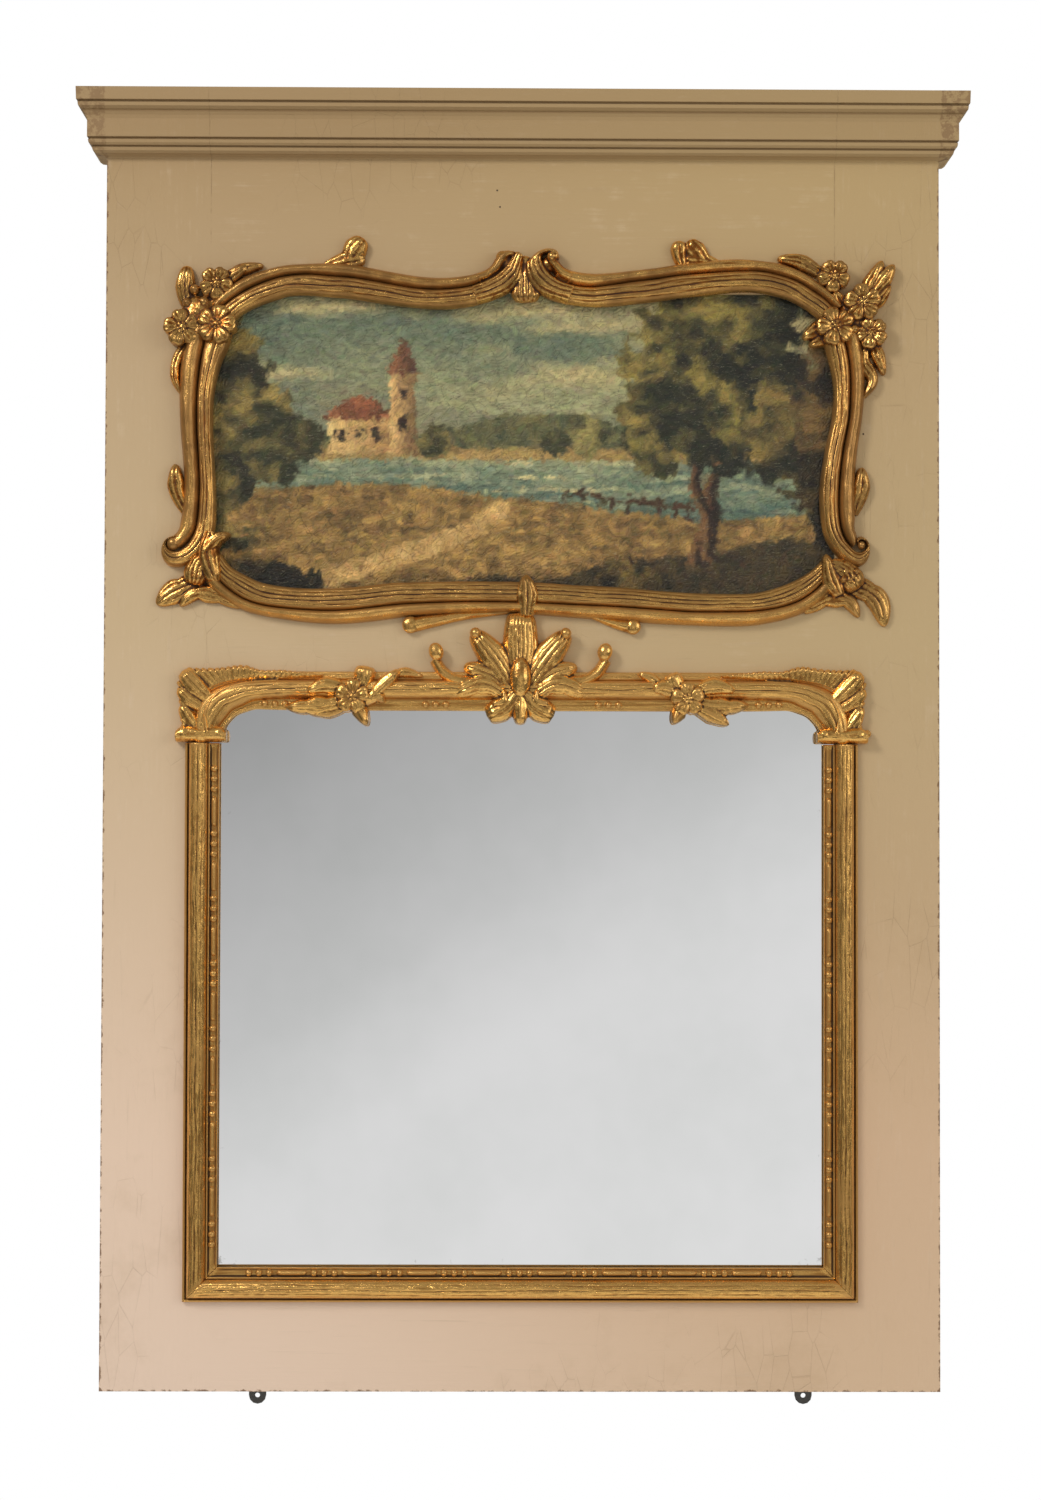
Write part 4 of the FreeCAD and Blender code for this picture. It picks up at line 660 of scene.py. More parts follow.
def mark_hollows(data, rounds):
    """Stores how deep each point lies among its neighbours; the glaze gathers in the hollows."""
    count = len(data.vertices)
    place = np.empty(count * 3, np.float32)
    data.vertices.foreach_get("co", place)
    place = place.reshape(-1, 3).astype(float)
    edges = np.empty(len(data.edges) * 2, np.int32)
    data.edges.foreach_get("vertices", edges)
    first, second = edges.reshape(-1, 2).T
    normals = np.empty(count * 3, np.float32)
    data.vertex_normals.foreach_get("vector", normals)
    normals = normals.reshape(-1, 3)
    links = np.bincount(first, minlength=count) + np.bincount(second, minlength=count)
    links = np.maximum(links, 1)
    calm = place.copy()
    for _ in range(rounds):
        total = np.stack([np.bincount(first, calm[second, k], count)
                          + np.bincount(second, calm[first, k], count) for k in range(3)], axis=1)
        calm = 0.3 * calm + 0.7 * total / links[:, None]
    depth = np.clip(((calm - place) * normals).sum(axis=1) / (0.8 * MM), -0.7, 1.5)
    if "soil" in data.attributes:
        soil = np.empty(count, np.float32)
        data.attributes["soil"].data.foreach_get("value", soil)
        depth += soil
    hollow = data.attributes.new("hollow", "FLOAT", "POINT")
    hollow.data.foreach_set("value", np.clip(depth, -1.5, 1.5).astype(np.float32))


def dress(piece, material, nodes=()):
    """Gives a new piece its finish and hides the CAD nodes that it stands for; all ride on the panel."""
    piece.data.materials.clear()
    piece.data.materials.append(material)
    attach(piece, "panel")
    if nodes:
        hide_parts(*nodes)


def gilded(name, streaked):
    """The gilding by its name, mixed when it is first asked for."""
    return bpy.data.materials.get(name) or gilding(name, streaked, bpy.context.scene.trumeau_finishes)


# ------------------------------------------------------------------ sizes and colours

class TrumeauFinishes(bpy.types.PropertyGroup):
    # Besides the rubbed leaf, this colour is washed over the lower carving as painted light.
    bright_gold: FloatVectorProperty(
        name="Bright gold", description="Leaf where it is rubbed bright",
        default=ink(255, 200, 112), subtype="COLOR", min=0, max=1)
    dull_gold: FloatVectorProperty(
        name="Dull gold", description="Leaf under old size and dust",
        default=ink(160, 98, 42), subtype="COLOR", min=0, max=1)
    bole: FloatVectorProperty(
        name="Bole", description="Red clay that shows where the leaf has gone",
        default=ink(112, 54, 26), subtype="COLOR", min=0, max=1)
    # Besides the glaze in the hollows, this colour darkens the upper carving in patches as painted shade.
    glaze: FloatVectorProperty(
        name="Glaze", description="Brown glaze and dirt in the hollows",
        default=ink(52, 28, 10), subtype="COLOR", min=0, max=1)
    old_pine: FloatVectorProperty(
        name="Old pine", description="Bare pine on the back",
        default=ink(166, 126, 84), subtype="COLOR", min=0, max=1)
    pine_grain: FloatVectorProperty(
        name="Pine grain", description="Late wood lines in the bare pine",
        default=ink(122, 84, 50), subtype="COLOR", min=0, max=1)


class TrumeauCarving(bpy.types.PropertyGroup):
    grain: FloatProperty(
        name="Fusing grain", description="Size of the cells that fuse the carved forms, in millimetres",
        default=0.95, min=0.5, max=4)
    softening: IntProperty(
        name="Softening", description="Rounds of smoothing, like the gesso over the carving",
        default=2, min=0, max=20)
    run_height: FloatProperty(
        name="Moulding height", description="Height of the picture moulding's strands, in millimetres",
        default=15.0, min=4, max=30)
    bead_radius: FloatProperty(
        name="Bead radius", description="Beads of the mirror moulding, in millimetres",
        default=4.2, min=1, max=8)


class TrumeauStage(bpy.types.PropertyGroup):
    key_power: FloatProperty(
        name="Key light", description="Large soft light from the upper left", default=62.0,
        min=0, unit="POWER")
    fill_power: FloatProperty(
        name="Fill light", description="Large soft light from the right", default=26.0,
        min=0, unit="POWER")
    surround: FloatProperty(
        name="Surround", description="Strength of the soft light from all round", default=0.62,
        min=0, max=2)
    floor_drop: FloatProperty(
        name="Floor", description="Height of the floor below the wall screws", default=-1.0,
        unit="LENGTH")


# ------------------------------------------------------------------ stage

class TRUMEAU_OT_stage(bpy.types.Operator):
    """Camera, soft light, pale floor and surround"""

    bl_idname = "trumeau.stage"
    bl_label = "Stage"

    EYE = (-0.0403, -3.044, 0.7068)
    PITCH_YAW_ROLL = (1.393, 0.490, 0.155)
    LENS, FILM = 60, 36
    KEY = ((-2.3, -2.7, 2.9), (0.0, 0.0, 0.8), 1.0)
    FILL = ((2.9, -2.3, 1.6), (0.0, 0.0, 0.7), 2.2)
    FLOOR_REACH, FLOOR_MIDDLE = 2.0, -0.4
    ROOM_GREYS = ((0.0, 0.79), (0.398, 0.775), (0.4525, 0.73), (0.4725, 0.655), (0.481, 0.60),
                  (0.537, 0.38), (0.56, 0.30))

    def execute(self, context):
        scene = context.scene
        settings = scene.trumeau_stage
        self.camera(scene)
        self.world(scene, settings)
        self.light("key_light", *self.KEY, settings.key_power)
        self.light("fill_light", *self.FILL, settings.fill_power)
        form = bmesh.new()
        place = Matrix.Translation((0, self.FLOOR_MIDDLE, settings.floor_drop))
        bmesh.ops.create_grid(form, x_segments=2, y_segments=2, size=self.FLOOR_REACH, matrix=place)
        floor = new_piece("floor", form)
        r = new_material("pale_floor")
        dust = r.noise(r.place(), 2.0, 3.0, 0.5)
        pale = r.mix((0.80, 0.80, 0.79), (0.84, 0.84, 0.83), dust)
        floor.data.materials.append(r.finish(Base_Color=pale, Roughness=0.85))
        return {"FINISHED"}

    def camera(self, scene):
        """Looks almost straight at the panel, with the photograph's small turn of each axis."""
        pitch, yaw, roll = (math.radians(degrees) for degrees in self.PITCH_YAW_ROLL)
        ahead = Vector((math.sin(yaw) * math.cos(pitch), math.cos(yaw) * math.cos(pitch), math.sin(pitch)))
        level = Vector((math.cos(yaw), -math.sin(yaw), 0))
        upright = level.cross(ahead)
        across = math.cos(roll) * level + math.sin(roll) * upright
        above = -math.sin(roll) * level + math.cos(roll) * upright
        data = bpy.data.cameras.new("camera")
        data.lens = self.LENS
        data.sensor_width = self.FILM
        data.sensor_fit = "AUTO"
        camera = bpy.data.objects.new("camera", data)
        turn = Matrix((across, above, -ahead)).transposed().to_4x4()
        camera.matrix_world = Matrix.Translation(self.EYE) @ turn
        scene.collection.objects.link(camera)
        scene.camera = camera

    def light(self, name, place, target, size, power):
        data = bpy.data.lights.new(name, "AREA")
        data.shape = "DISK"
        data.size = size
        data.energy = power
        light = bpy.data.objects.new(name, data)
        light.location = place
        light.rotation_euler = (Vector(target) - Vector(place)).to_track_quat("-Z", "Y").to_euler()
        bpy.context.scene.collection.objects.link(light)

    def world(self, scene, settings):
        """White behind the object, a soft surround, and the bright room that metal and glass show."""
        r = Recipe(bpy.data.worlds.new("surround"))
        scene.world = r.holder
        right, depth, up = r.parts(r.node("ShaderNodeTexCoord", output="Generated"))
        stops = [(at, (grey, grey, grey)) for at, grey in self.ROOM_GREYS]
        slope = up - right * 0.55
        ahead = r.node("ShaderNodeValToRGB", {"stops": stops}, {"Fac": slope * 0.5 + 0.5})
        height = r.step(up, -0.2, 0.8, 0.07, 0.26)
        room = r.mix(height, ahead, r.step(depth * -1.0, 0.925, 0.972))
        seen = r.node("ShaderNodeLightPath", output="Is Camera Ray")
        mirrored = seen.output("Is Glossy Ray") + seen.output("Is Transmission Ray")
        soft = self.glow(r, (1, 1, 1), settings.surround)
        glossy = r.node("ShaderNodeMixShader", {}, {0: mirrored, 1: soft, 2: self.glow(r, room)})
        final = r.node("ShaderNodeMixShader", {}, {0: seen, 1: glossy, 2: self.glow(r, (1, 1, 1))})
        r.node("ShaderNodeOutputWorld", {}, {"Surface": final})
        scene.view_settings.view_transform = "Standard"

    def glow(self, r, colour, strength=1.0):
        return r.node("ShaderNodeBackground", {}, {"Color": colour, "Strength": strength})


# ------------------------------------------------------------------ panel

class TRUMEAU_OT_panel(bpy.types.Operator):
    """Aged paint on the panel and cornice, bare pine behind"""

    bl_idname = "trumeau.panel"
    bl_label = "Panel"

    END_GRAIN = ("tenon_pegs", "glass_blocks", "stretcher_keys")

    def execute(self, context):
        settings = context.scene.trumeau_finishes
        paint = distemper(settings)
        stretches = ((6.0, 190.0, 190.0), (190.0, 190.0, 190.0), (190.0, 190.0, 6.0))
        pine = [bare_pine("old_pine_%d" % axis, settings, stretch) for axis, stretch in enumerate(stretches)]
        for name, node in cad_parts.items():
            slot = node.data.materials[0].name.split(".")[0]
            if slot == "painted_pine":
                node.data.materials[0] = paint
            elif slot == "bare_pine":
                low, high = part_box(name)
                size = high - low
                longest = max(range(3), key=lambda axis: size[axis])
                node.data.materials[0] = pine[1 if name in self.END_GRAIN else longest]
        return {"FINISHED"}


class TRUMEAU_OT_hardware(bpy.types.Operator):
    """Wall plates, hanging rings, screws and brads"""

    bl_idname = "trumeau.hardware"
    bl_label = "Hardware"

    STEEL = ("wall_plates", "hanger_straps", "hanger_ring_left", "hanger_ring_right", "fixing_screws")

    def execute(self, context):
        steel = worn_steel("dark_steel_finish", ink(96, 94, 90), 0.02)
        iron = worn_steel("cut_iron_finish", ink(70, 66, 62), 0.14)
        for name in self.STEEL:
            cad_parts[name].data.materials[0] = steel
        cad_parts["back_board_brads"].data.materials[0] = iron
        return {"FINISHED"}


class TRUMEAU_OT_looking_glass(bpy.types.Operator):
    """Silvered plate of the looking glass"""

    bl_idname = "trumeau.looking_glass"
    bl_label = "Looking glass"

    def execute(self, context):
        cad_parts["mirror_glass"].data.materials[0] = silvering()
        return {"FINISHED"}


# ------------------------------------------------------------------ picture moulding

# A station of a run is (right, up) at its outer edge, at the groove between its two strands and
# at its inner edge, in millimetres from the centre line and the wall screws.
TOP_LEFT = [
    (-374, 1316, -365, 1308, -350, 1290), (-358, 1332, -349, 1321, -336, 1303),
    (-336, 1347, -328, 1334, -317, 1313), (-308, 1357, -304, 1344, -297, 1320),
    (-286, 1362, -284, 1349, -281, 1325), (-259, 1364, -259, 1351, -259, 1326),
    (-231, 1365, -231, 1349, -232, 1324), (-204, 1363, -205, 1347, -206, 1322),
    (-176, 1358, -178, 1343, -180, 1318), (-149, 1353, -150, 1338, -152, 1314),
    (-121, 1349, -121, 1334, -122, 1311), (-93, 1348, -92, 1334, -92, 1310),
    (-66, 1351, -62, 1338, -56, 1315), (-49, 1356, -41, 1346, -29, 1325),
]
TOP_RIGHT = [
    (50, 1361, 38, 1349, 24, 1326), (62, 1356.5, 53, 1341, 43, 1319),
    (84, 1354, 80, 1337, 76, 1314), (109, 1355, 107, 1340, 104, 1314),
    (135, 1358, 133, 1344, 131, 1317), (160, 1361, 159, 1347, 158, 1320),
    (185, 1365, 184, 1351, 184, 1324), (211, 1368, 211, 1354, 210, 1327),
    (236, 1371, 236, 1356, 235, 1330), (261, 1372, 260, 1357, 257, 1332),
    (287, 1370, 284, 1357, 278, 1332), (312, 1366, 306, 1353, 298, 1329),
    (337, 1356, 330, 1345, 319, 1323), (357, 1343, 350, 1333, 338, 1313),
    (372, 1330, 365, 1322, 352, 1303), (384, 1316, 377, 1310, 364, 1291),
]
LEFT_SIDE = [
    (-396, 1296, -374, 1289, -348, 1282), (-406, 1270, -383, 1266, -354, 1262),
    (-412, 1240, -388, 1238, -364, 1238), (-413, 1205, -391, 1203, -371, 1203),
    (-411.5, 1165, -391, 1165, -372, 1165), (-408.5, 1130, -389, 1130, -370, 1125),
    (-406.5, 1100, -387.5, 1098, -368, 1092), (-408, 1072, -388.5, 1068, -367.5, 1062),
    (-411, 1052, -391, 1048, -369, 1042),
]
RIGHT_SIDE = [
    (398, 1296, 380, 1290, 356, 1283), (407, 1275, 388, 1270, 363, 1266),
    (411, 1245, 393, 1243, 370, 1240), (412, 1215, 394, 1213, 374, 1212),
    (409, 1180, 392, 1179, 372, 1179), (404, 1147, 386, 1147, 365, 1147),
    (401, 1117, 382, 1117, 360, 1117), (400, 1085, 380, 1085, 357, 1085),
    (400.5, 1062, 381, 1058, 359, 1056), (399.5, 1048, 384, 1043, 362, 1040),
]
BOTTOM = [
    (-386, 988, -375, 1000, -362, 1015), (-372, 970, -362, 981, -350, 999),
    (-353, 956, -346, 967, -333, 989), (-334, 946, -330, 958, -316, 981),
    (-312, 940, -310, 952, -300, 977), (-288, 936, -287, 949, -281, 974.5),
    (-262, 932.5, -261, 947, -259, 973), (-235, 930.5, -235, 946, -235, 973),
    (-208, 931, -208, 947, -209, 974), (-181, 933.5, -181, 950, -182, 977),
    (-155, 937, -155, 953, -155, 980), (-128, 940, -128, 955, -128, 981),
    (-74, 943, -74, 957, -75, 982), (-21, 944, -21, 957, -20, 982),
    (19, 942, 19, 956, 19, 981), (65, 938.5, 65, 954, 65, 978), (111, 935.5, 111, 952, 111, 976),
    (157, 932, 157, 949, 157, 972), (203, 930, 202, 946, 203, 969),
    (249, 929, 248, 946, 249, 968), (280, 930.5, 279, 947, 278, 969),
    (310, 936, 306, 951, 300, 974), (335, 944, 329, 958, 320, 981),
    (354, 955, 347, 969, 336, 989), (370, 969, 361, 982, 349, 998),
    (386, 988, 375, 998, 362, 1011),
]


LEFT_OUTER_END = [(-413, 1043, -395, 1037), (-418, 1037, -402, 1027), (-424, 1032, -410, 1020)]
LEFT_SCROLL = [
    (-395, 1036, -374, 1026), (-401, 1026, -384, 1013), (-408, 1020, -397, 1003),
    (-415, 1017.5, -411, 998), (-421, 1018.5, -424, 999.5), (-425, 1022, -431.5, 1008),
    (-426, 1026.5, -433, 1018), (-423.5, 1030, -430, 1028), (-418.5, 1032, -423, 1033.5),
    (-413, 1033, -414, 1036),
]
RIGHT_OUTER_END = [(402, 1039, 388.5, 1034), (401, 1031, 394, 1027), (399, 1027, 397, 1025)]
RIGHT_SCROLL = [
    (388.5, 1033, 368.5, 1026), (394, 1026, 378.5, 1013), (400, 1020.5, 390, 1004),
    (406, 1019, 402, 1000.5), (411, 1021.5, 412, 1005), (413, 1026, 417, 1015),
    (411, 1030.5, 417, 1027), (407, 1032, 412, 1035), (403.5, 1030.5, 405, 1037.5),
    (403, 1027.5, 399.5, 1033),
]


def outer_strand(stations):
    return [station[:4] for station in stations]


def inner_strand(stations):
    return [station[2:] for station in stations]


class TRUMEAU_OT_picture_mouldings(bpy.types.Operator):
    """Two-strand carved moulding round the picture, with a scroll at each lower corner"""

    bl_idname = "trumeau.picture_mouldings"
    bl_label = "Picture moulding"

    def execute(self, context):
        height = context.scene.trumeau_carving.run_height
        for side, stations, seed in (("left", TOP_LEFT, 11), ("right", TOP_RIGHT, 23)):
            piece = Carving("picture_moulding_top_" + side)
            piece.ribbon(outer_strand(stations), height, (1.0, 3.5), 0.46, 2.2, 0.6, 0.28, seed=seed)
            piece.ribbon(inner_strand(stations), height - 3.0, (3.0, 3.2), 0.42, 2.6, 0.5, 0.35,
                         ridges=4, ridge_depth=0.9, across=30, seed=seed + 3)
            piece.finish()
        for side, stations, outer_end, scroll, seeds, eye, radius, rise in (
                ("left", LEFT_SIDE, LEFT_OUTER_END, LEFT_SCROLL, (13, 17), (-418, 1025.5), 8.0, 4.5),
                ("right", RIGHT_SIDE, RIGHT_OUTER_END, RIGHT_SCROLL, (19, 29), (406.5, 1026.5), 5.0, 3.5)):
            piece = Carving("picture_moulding_" + side)
            piece.ribbon(outer_strand(stations) + outer_end, height + 1, (1.0, 3.0), 0.5, 2.2, 0.6, 0.28,
                         seed=seeds[0])
            piece.ribbon(inner_strand(stations) + scroll, height - 1.5, (3.0, 2.5), 0.45, 2.5, 0.5, 0.38,
                         ridges=4, ridge_depth=0.8, across=30, seed=seeds[1])
            piece.knob(eye, radius, height + rise, 2.0)
            piece.finish()
        piece = Carving("picture_moulding_bottom")
        piece.ribbon(outer_strand(BOTTOM), height - 1.5, (1.0, 5.0), 0.55, 2.2, 0.55, 0.22, seed=41)
        piece.ribbon(inner_strand(BOTTOM), height - 5.0, (5.0, 3.2), 0.46, 3.0, 0.45, 0.4,
                     ridges=5, ridge_depth=0.9, across=32, seed=44)
        piece.finish()
        return {"FINISHED"}


class TRUMEAU_OT_crest_shell(bpy.types.Operator):
    """Two small scrolls with a shell leaf between them, at the top of the picture"""

    bl_idname = "trumeau.crest_shell"
    bl_label = "Crest"

    LEFT_OUTER = [(-58, 1353, -52, 1341), (-47, 1357, -40, 1346), (-39, 1363, -29, 1354),
                  (-35, 1370, -23, 1362), (-30, 1377, -19, 1368), (-21, 1381, -16, 1371),
                  (-11, 1380, -13, 1372)]
    LEFT_INNER = [(-62, 1338, -56, 1315), (-47, 1344, -36, 1321), (-33, 1352, -17, 1330),
                  (-23, 1361, -5, 1341), (-17, 1369, -1, 1353), (-12, 1377, 1, 1365),
                  (-7, 1379, 2, 1371)]
    RIGHT_OUTER = [(62, 1356, 54, 1341), (52, 1360, 44, 1346), (45, 1366, 38, 1352),
                   (41, 1371, 33, 1358), (37, 1372, 29, 1364)]
    RIGHT_INNER = [(62, 1339, 54, 1316), (48, 1343, 38, 1321), (37, 1350, 22, 1327),
                   (29, 1358, 9, 1337), (24, 1367, 3, 1350), (23, 1373, 2, 1362),
                   (25, 1376, 9, 1372), (30, 1377, 19, 1380), (34, 1377, 30, 1383),
                   (37, 1374, 41, 1380), (37, 1371, 44, 1371)]

    def execute(self, context):
        high = context.scene.trumeau_carving.run_height
        piece = Carving("crest_shell")
        for outer, inner, rise, ridges in (
                (self.LEFT_OUTER, self.LEFT_INNER, -0.5, 5), (self.RIGHT_OUTER, self.RIGHT_INNER, 0.5, 4)):
            piece.ribbon(outer, high + 2, (1.0, 3.0), 0.5, 2.2, 0.6, 0.25, across=20)
            piece.ribbon(inner, high + rise, (4.0, 3.0), 0.45, 2.4, 0.45, 0.4, ridges=ridges,
                         ridge_depth=1.8, fine=1.0, across=34)
        piece.knob((32, 1365), 10.0, high - 1)
        piece.knob((34.5, 1372), 7.0, high + 7)
        piece.knob((-20, 1366), 9.0, high - 1)
        piece.knob((-25, 1372), 8.0, high + 3)
        piece.leaf([(2, 1364), (3, 1342), (3.5, 1318)], 36, high - 2, ribs=5, tip=0.22, broad=0.78,
                   low=0.9, depth=2.2)
        piece.leaf([(2, 1350), (2, 1364), (2, 1375)], 22, high - 3, ribs=1, tip=0.3, low=0.9)
        piece.fuse()
        return {"FINISHED"}


class TRUMEAU_OT_corner_flowers(bpy.types.Operator):
    """Flower groups over the upper corners of the picture"""

    bl_idname = "trumeau.corner_flowers"
    bl_label = "Corner flowers"

    def execute(self, context):
        piece = Carving("corner_flowers_left")
        piece.leaf([(-398, 1302), (-406, 1330), (-404, 1361)], 25, 13, ribs=4, tip=0.3, broad=0.6)
        piece.leaf([(-364, 1340), (-340, 1356), (-312, 1362)], 17, 11, ribs=2, tip=0.4)
        piece.leaf([(-376, 1328), (-354, 1346), (-330, 1361)], 20, 14, ribs=3, tip=0.4)
        piece.leaf([(-400, 1276), (-415, 1250), (-418, 1226), (-410, 1204)], 15, 12, ribs=2,
                   tip=0.5, lobes=2)
        piece.leaf([(-386, 1304), (-376, 1314), (-362, 1322)], 22, 14, ribs=3)
        piece.knob((-388, 1300), 24, 19)
        piece.knob((-372, 1322), 13, 13)
        piece.flower((-368, 1338), 20.0, 20, 60, tilt=(-2, 3))
        piece.flower((-408, 1284), 22.5, 22, 100, tilt=(-4, 0))
        piece.flower((-367, 1288), 24.0, 25, 75, tilt=(3, -2))
        for x, z, radius in ((-394, 1331, 6.4), (-403, 1315, 6.0), (-383, 1316, 7.0), (-391, 1303, 7.0),
                             (-380, 1326, 5.0)):
            piece.knob((x, z), radius, 20)
        piece.fuse()
        piece = Carving("corner_flowers_right")
        piece.leaf([(402, 1312), (418, 1340), (433, 1371)], 22, 14, ribs=3, tip=0.45, broad=0.55)
        piece.leaf([(410, 1318), (430, 1342), (447, 1366)], 21, 16, ribs=3, tip=0.45, broad=0.65)
        piece.leaf([(412, 1310), (428, 1322), (443, 1341)], 17, 13, ribs=2, tip=0.5)
        piece.leaf([(374, 1298), (354, 1287), (336, 1276)], 22, 14, ribs=3, tip=0.5)
        piece.leaf([(378, 1288), (358, 1274), (344, 1267)], 19, 12, ribs=2, tip=0.5)
        piece.leaf([(366, 1350), (336, 1368), (306, 1373)], 21, 13, ribs=3, tip=0.4)
        piece.leaf([(418, 1280), (428, 1256), (435, 1232)], 18, 12, ribs=3, tip=0.45)
        piece.leaf([(414, 1280), (410, 1250), (421, 1226), (408, 1202)], 18, 12, ribs=3, tip=0.55)
        piece.leaf([(388, 1314), (380, 1322), (374, 1334)], 20, 14, ribs=2)
        piece.knob((396, 1302), 19, 16)
        piece.flower((373, 1350), 19.5, 21, 50, tilt=(2, 3))
        piece.flower((407, 1318), 22.0, 24, 95, tilt=(2, 2))
        piece.flower((375, 1289), 23.5, 24, 110, tilt=(-3, -2))
        piece.flower((418, 1282), 19.5, 20, 40, tilt=(4, -1))
        for x, z, radius in ((392, 1299, 8.0), (398, 1286, 6.0), (395, 1308, 6.0)):
            piece.knob((x, z), radius, 21)
        piece.fuse()
        return {"FINISHED"}


class TRUMEAU_OT_leaves_and_buds(bpy.types.Operator):
    """Leaves, buds and twigs round the picture moulding"""

    bl_idname = "trumeau.leaves_and_buds"
    bl_label = "Leaves and buds"

    def execute(self, context):
        piece = Carving("shoulder_leaves")
        piece.leaf([(-238, 1360), (-214, 1368), (-190, 1372)], 26, 10, ribs=3, tip=0.3, broad=0.7)
        piece.leaf([(-212, 1364), (-204, 1380), (-192, 1395)], 30, 13, ribs=3, tip=0.3, broad=0.6)
        piece.leaf([(236, 1364), (212, 1370), (192, 1372)], 26, 10, ribs=3, tip=0.3, broad=0.7)
        piece.leaf([(222, 1366), (206, 1384), (200, 1395)], 27, 12, ribs=3, tip=0.3, broad=0.6)
        piece.leaf([(192, 1362), (188, 1378), (188, 1394)], 21, 13, ribs=2, tip=0.25, broad=0.7)
        piece.fuse()
        piece = Carving("side_buds")
        piece.leaf([(-404, 1064), (-415, 1090), (-417, 1122)], 22, 12, ribs=2, tip=0.4, broad=0.6)
        piece.leaf([(398, 1064), (407, 1092), (408, 1121)], 22, 12, ribs=2, tip=0.4, broad=0.6)
        piece.fuse()
        piece = Carving("corner_leaves_left")
        piece.leaf([(-372, 984), (-396, 978), (-418, 968), (-439, 953)], 33, 9, ribs=4, tip=0.42,
                   broad=0.6, lobes=2, lobe_depth=0.25)
        piece.leaf([(-336, 952), (-366, 963), (-392, 966), (-411, 951)], 22, 11, ribs=3, tip=0.42,
                   broad=0.55, lobes=3, lobe_depth=0.25)
        piece.leaf([(-372, 1040), (-377, 1012), (-366, 976)], 32, 21, ribs=4, tip=0.35, broad=0.5,
                   low=0.9)
        piece.leaf([(-380, 1016), (-366, 1031), (-349, 1037)], 20, 22, ribs=3, tip=0.5, broad=0.4,
                   low=0.95)
        piece.leaf([(-374, 1016), (-388, 1000), (-394, 976)], 31, 19, ribs=5, tip=0.2, broad=0.7,
                   low=0.9)
        piece.fuse()
        piece = Carving("corner_leaves_right")
        piece.leaf([(374, 984), (404, 977), (427, 961), (436, 929)], 32, 9, ribs=4, tip=0.42,
                   broad=0.55, lobes=2, lobe_depth=0.25)
        piece.leaf([(338, 948), (368, 962), (392, 959), (405, 940)], 23, 11, ribs=3, tip=0.42,
                   broad=0.55, lobes=3, lobe_depth=0.25)
        piece.leaf([(380, 966), (369, 990), (364, 1016)], 28, 21, ribs=4, tip=0.5, broad=0.35,
                   low=0.9)
        piece.leaf([(370, 1004), (388, 994), (403, 974)], 33, 21, ribs=6, tip=0.2, broad=0.7,
                   low=0.9)
        for x, z in ((388, 994), (396, 988), (392, 984), (400, 994), (384, 984)):
            piece.knob((x, z), 3.8, 22.5, 8)
        piece.fuse()
        piece = Carving("bottom_bud")
        piece.leaf([(5, 940), (6, 962), (4, 990)], 31, 21, ribs=4, tip=0.5, broad=0.5, low=0.85,
                   depth=2.2)
        piece.fuse()
        piece = Carving("twigs")
        piece.stem([(-134, 929.5), (-110, 934), (-70, 941), (-16, 945)], 20, 11, 0.22)
        piece.knob((-134, 929.5), 10.4, 11.5)
        piece.stem([(133, 928), (112, 932), (84, 940)], 18, 11, 0.3)
        piece.knob((133, 928), 9.6, 11.5)
        piece.fuse()
        return {"FINISHED"}


# ------------------------------------------------------------------ mirror moulding

OUTER, SPRING, FOOT = (round(reach / MM, 3) for reach in (
    CENTRE - MOULDING_LOW.x, MOULDING_HIGH.z, MOULDING_LOW.z))
MOULDING_WIDTH = round((MOULDING_HIGH.x - MOULDING_LOW.x) / MM, 3)
TORUS_START, TORUS_SHARE = 0.115, 0.55
BED_START, BED_MIDDLE = 0.725, 0.845


def bead_strip(piece, line, radius, low):
    """Groups of three beads with a long reel between them, along a line of (right, up)."""
    path = Line(line)
    beads, pitch, reel, gap = 3, radius * 2.9, 38.0, 1.5
    period = beads * pitch + reel + 2 * gap
    groups = max(1, int((path.length + reel) // period))
    spare = (path.length - groups * period + reel) / 2
    for group in range(groups):
        start = spare + group * period
        for bead in range(beads):
            x, z = path((start + (bead + 0.5) * pitch) / path.length)
            piece.knob((x, z), radius, low + radius * 1.35, max(low - radius, 0), sides=10)
        if group < groups - 1:
            first = start + beads * pitch + gap
            shares = [(first + reel * part) / path.length for part in (0, 0.5, 1)]
            points = [tuple(float(v) for v in path(share)) for share in shares]
            reel_bar(piece, points, radius * 1.7, low + radius * 1.05)


def reel_bar(piece, points, width, height):
    """Long rounded bar between two groups of beads."""
    line = Line(points)

    def shape(s, t):
        ends = dome(s, 8.0, 0.6)
        reach = (2 * t - 1) * width / 2 * (0.55 + 0.45 * ends)
        return *line.aside(s, reach), 2.0 + (height - 2.0) * dome(t, 2.1) * ends

    piece.relief(12, 8, shape)


def straight_section(t):
    """Height of the straight moulding over its width, from the back edge to the sight edge."""
    torus_end = TORUS_START + TORUS_SHARE
    torus = 5.6 + 12.4 * dome((t - TORUS_START) / TORUS_SHARE, 2.4, 0.52)
    out = np.where(t < 0.085, 5.0 + 2.0 * dome(t / 0.085), 4.4)
    out = np.where((t >= TORUS_START) & (t < torus_end), torus, out)
    out = np.where((t >= torus_end + 0.01) & (t < BED_START), 7.4, out)
    return np.where(t >= BED_START, 3.4 + 0.9 * ease(t, 0.955, 0.97), out)


